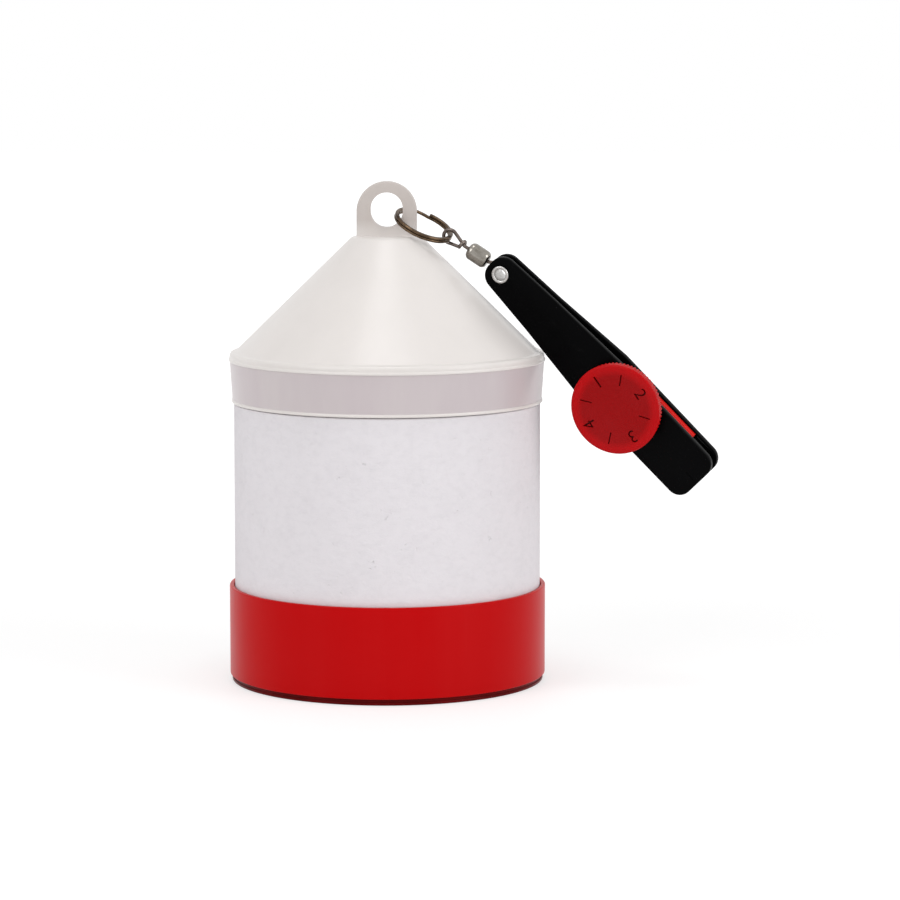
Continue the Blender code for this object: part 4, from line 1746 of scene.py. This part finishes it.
    def tension_screw(self) -> None:
        """The screw: hexagon head in the rear leg's pocket, shank up into the knob."""
        head_top = -self.outer + self.screw_pocket - self.fine
        base, top = solid_reach("tension_screw", self.axes, 2)
        place = self.knob_place.x
        start = head_top - self.screw_head_height / 2
        shank = Workpiece.rod("clip_screw", self.screw, start, top, place, 32)
        head = Workpiece.rod("screw_head", self.screw_head, base, head_top, place, 6)
        head.rounded(at_place(z=(base, base)), self.screw_head_edge, 3)
        shank.fused(head).moved(self.axes)
        shank.dressed(BRIGHT_STEEL, "clip_rear", "tension_screw", "bright_steel")

    def spring(self) -> None:
        """The spring under the knob, a coil of wire from its seat up into the knob."""
        low = self.outer - self.seat_depth + self.spring_wire + self.fine
        high = self.knob_place.z + self.knob_recess - self.spring_wire - self.fine
        count = round(self.spring_turns * self.spring_steps)
        path = []
        for step in range(count + 1):
            angle = 2 * math.pi * self.spring_turns * step / count
            out = Vector((math.cos(angle), math.sin(angle), 0)) * self.spring_radius
            path.append(out + Vector((0, 0, low + (high - low) * step / count)))
        piece = Workpiece.wire("clip_spring", path, self.spring_wire, sides=3)
        seat = Vector((self.knob_place.x, 0, 0))
        piece.moved(self.axes @ Matrix.Translation(seat))
        obj = piece.dressed(BRIGHT_STEEL, "clip_front", "tension_spring", "bright_steel")
        anchor = self.axes @ Vector((self.knob_place.x, 0, low - self.spring_wire))
        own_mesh(obj)

    def knob(self) -> None:
        """The knob: knurled rim, dished face and engraved dial marks."""
        high = self.knob_thickness
        rim = self.knob_radius
        knurl = rim - self.lip_inset
        insert = self.screw + self.insert_wall + self.fine * 2
        top = solid_reach("knob_insert", self.axes, 2)[1]
        chamfer_width, chamfer_height = self.knob_chamfer
        profile = [
            (insert, top - self.knob_place.z + self.play),
            (insert, self.knob_recess),
            (self.seat_radius, self.knob_recess),
            (self.seat_radius, 0.0),
            (knurl - chamfer_width, 0.0),
            (knurl, chamfer_height),
            (knurl, self.lip_start),
            (rim, self.lip_start + self.lip_round),
            (rim, self.lip_end),
            *((rim - inset, high - drop) for inset, drop in self.knob_shoulder),
            *((rim * share, high - drop) for share, drop in self.knob_dish),
        ]
        sides = self.knob_teeth * self.tooth_sides
        piece = Workpiece.turned("dial_knob", profile, sides=sides)
        share = 1 - self.knurl_depth / knurl
        piece.resized(self.valley(knurl), (share, share, 1), (0, 0, 0))
        piece.rounded(on_ring(rim, self.lip_end), self.lip_round, 3)
        for index in range(self.dial_numbers):
            piece.cut(self.numeral(index), self.tick(index))
        piece.moved(self.axes @ Matrix.Translation(self.knob_place))
        piece.dressed(self.dial_red(), "knob", "tension_knob", "knob_red")

    def insert(self) -> None:
        """Brass for the knob's insert, which keeps its solid."""
        solid = frame["nodes"]["knob_insert"]
        solid.data.materials.clear()
        solid.data.materials.append(BRASS.material())
        LOG.info("%s: its solid is kept", solid.name)

    def valley(self, radius: float) -> Callable[[Any], bool]:
        """A test for the vertices between the knurl's teeth.

        Args:
            radius: The knurl's radius.

        Returns:
            A test that is true for the second half of each tooth's pitch.
        """
        pitch = 2 * math.pi / self.knob_teeth
        low, high = pitch * self.valley_start, pitch * self.valley_end
        inside = at_place(z=(0.0, self.lip_start))

        def test(vertex: Any) -> bool:
            """True for a vertex on the knurl between two teeth."""
            angle = math.atan2(vertex.co.y, vertex.co.x) % pitch
            on_knurl = math.hypot(vertex.co.x, vertex.co.y) > radius - SAME_PLACE
            return inside(vertex) and on_knurl and low < angle < high

        return test

    def dial_turn(self, count: float) -> Matrix:
        """The turn of a dial mark: whole counts for the numbers, halves between them."""
        angle = self.dial_start - 360.0 / self.dial_numbers * count
        return Matrix.Rotation(math.radians(angle), 4, "Z")

    def numeral(self, index: int) -> Workpiece:
        """The cutter of one dial number, set with its top towards the rim.

        Args:
            index: Which number, from 0.

        Returns:
            The cutter.
        """
        bpy.ops.object.select_all(action="DESELECT")
        bpy.ops.object.text_add()
        text = bpy.context.object.data
        text.body = str(index + 1)
        text.size = self.numeral_size
        text.align_x = text.align_y = "CENTER"
        text.extrude = self.knob_thickness / 2
        text.resolution_u = 6
        bpy.ops.object.convert(target="MESH")
        piece = Workpiece(bpy.context.object, f"numeral_{index}").welded()
        place = (0, self.numeral_radius, self.engraving + self.knob_thickness / 2)
        return piece.moved(self.dial_turn(index) @ Matrix.Translation(place))

    def tick(self, index: int) -> Workpiece:
        """The cutter of the tick between two dial numbers.

        Args:
            index: Which number it follows, from 0.

        Returns:
            The cutter.
        """
        half = self.tick_width / 2
        low = (-half, self.tick_start, self.engraving)
        high = (half, self.tick_end, self.knob_thickness * 2)
        return Workpiece.block(f"tick_{index}", low, high).moved(self.dial_turn(index + 0.5))


@dataclass
class Studio:
    """The pale floor, the soft lights and the camera at the photograph's angle."""

    target: Vector = field(default_factory=lambda: Vector((0.0209, 0.0, 0.0765)))
    elevation: float = math.radians(7.1)
    distance: float = 1.233
    lens: float = 148.0
    sensor: float = 36.0
    lights: tuple[tuple[str, Colour, float, float], ...] = (
        ("key_left", (-0.9, -0.9, 0.9), 0.8, 5.6),
        ("fill_right", (1.1, -0.6, 0.6), 0.7, 5.2),
        ("top", (-0.03, -0.15, 1.5), 0.5, 3.8),
    )
    fill: float = 0.55
    floor_size: float = 8.0
    floor_drop: float = 0.0001
    floor_glow: float = 1.2
    near_glow: float = 0.5
    fade_start: float = 0.20
    fade_width: float = 0.45

    def camera(self) -> None:
        """The camera, as far off and as long as the rims' ellipses show."""
        back = Vector((0, -math.cos(self.elevation), math.sin(self.elevation)))
        bpy.ops.object.camera_add(location=self.target + back * self.distance)
        camera = bpy.context.object
        camera.rotation_euler = (math.pi / 2 - self.elevation, 0, 0)
        camera.data.lens = self.lens
        camera.data.sensor_width = self.sensor
        camera.data.clip_end = 20.0
        bpy.context.scene.camera = camera

    def light(self, name: str, place: Sequence[float], size: float, power: float) -> None:
        """A square soft light that faces the float.

        Args:
            name: The light's name.
            place: Where it stands.
            size: The length of its side.
            power: Its power in watts.
        """
        bpy.ops.object.light_add(type="AREA", location=place)
        lamp = bpy.context.object
        lamp.name = name
        lamp.data.size = size
        lamp.data.energy = power
        lamp.rotation_euler = (self.target - Vector(place)).to_track_quat("-Z", "Y").to_euler()

    def world(self) -> None:
        """White surroundings for the camera and for reflections, and a softer fill."""
        world = bpy.data.worlds.new("studio")
        bpy.context.scene.world = world
        world.use_nodes = True
        tree = world.node_tree
        paths = tree.nodes.new("ShaderNodeLightPath")
        seen = paths.outputs[RAYS[0]]
        for kind in RAYS[1:]:
            either = tree.nodes.new("ShaderNodeMath")
            either.operation = "ADD"
            either.use_clamp = True
            tree.links.new(seen, either.inputs[0])
            tree.links.new(paths.outputs[kind], either.inputs[1])
            seen = either.outputs[0]
        strength = tree.nodes.new("ShaderNodeMapRange")
        strength.inputs["To Min"].default_value = self.fill
        strength.inputs["To Max"].default_value = 1.0
        tree.links.new(seen, strength.inputs[0])
        background = tree.nodes["Background"]
        background.inputs["Color"].default_value = (1, 1, 1, 1)
        tree.links.new(strength.outputs[0], background.inputs["Strength"])

    def floor(self) -> None:
        """A white floor that keeps a soft shadow under the float."""
        bpy.ops.object.select_all(action="DESELECT")
        place = (0, 0, -self.floor_drop)
        bpy.ops.mesh.primitive_plane_add(size=self.floor_size, location=place)
        floor = bpy.context.object
        floor.name = "floor"
        recipe = Recipe("white_floor")
        recipe.set(Base_Color=(0.9, 0.9, 0.9), Roughness=0.6)
        glow = recipe.node("ShaderNodeEmission", {}, {"Strength": self.floor_glow})
        paths = recipe.node("ShaderNodeLightPath")
        seen = [Signal(recipe, paths.outputs[kind]) for kind in RAYS]
        far = recipe.length(recipe.place()).over(self.fade_start, self.fade_width)
        near = self.near_glow
        share = (seen[0] + seen[1] + seen[2]).over(0.0, 1.0) * (far * (1 - near) + near)
        blend = recipe.node("ShaderNodeMixShader", {}, {0: share})
        recipe.feed(blend.inputs[1], recipe.shader.outputs[0])
        recipe.feed(blend.inputs[2], glow.outputs[0])
        recipe.feed(recipe.tree.nodes["Material Output"].inputs["Surface"], blend.outputs[0])
        floor.data.materials.append(recipe.material)

    def build(self) -> None:
        """Sets the scene's view, camera, lights, world and floor."""
        bpy.context.scene.view_settings.view_transform = "Standard"
        self.camera()
        for lamp in self.lights:
            self.light(*lamp)
        self.world()
        self.floor()


def main() -> None:
    """Builds the studio, then each sub-assembly from the float outwards."""
    logging.basicConfig(level=logging.INFO, format="%(message)s")
    for assembly in (Studio(), FloatBody(), Chain(), ReleaseClip()):
        assembly.build()


if __name__ == "__main__":
    main()
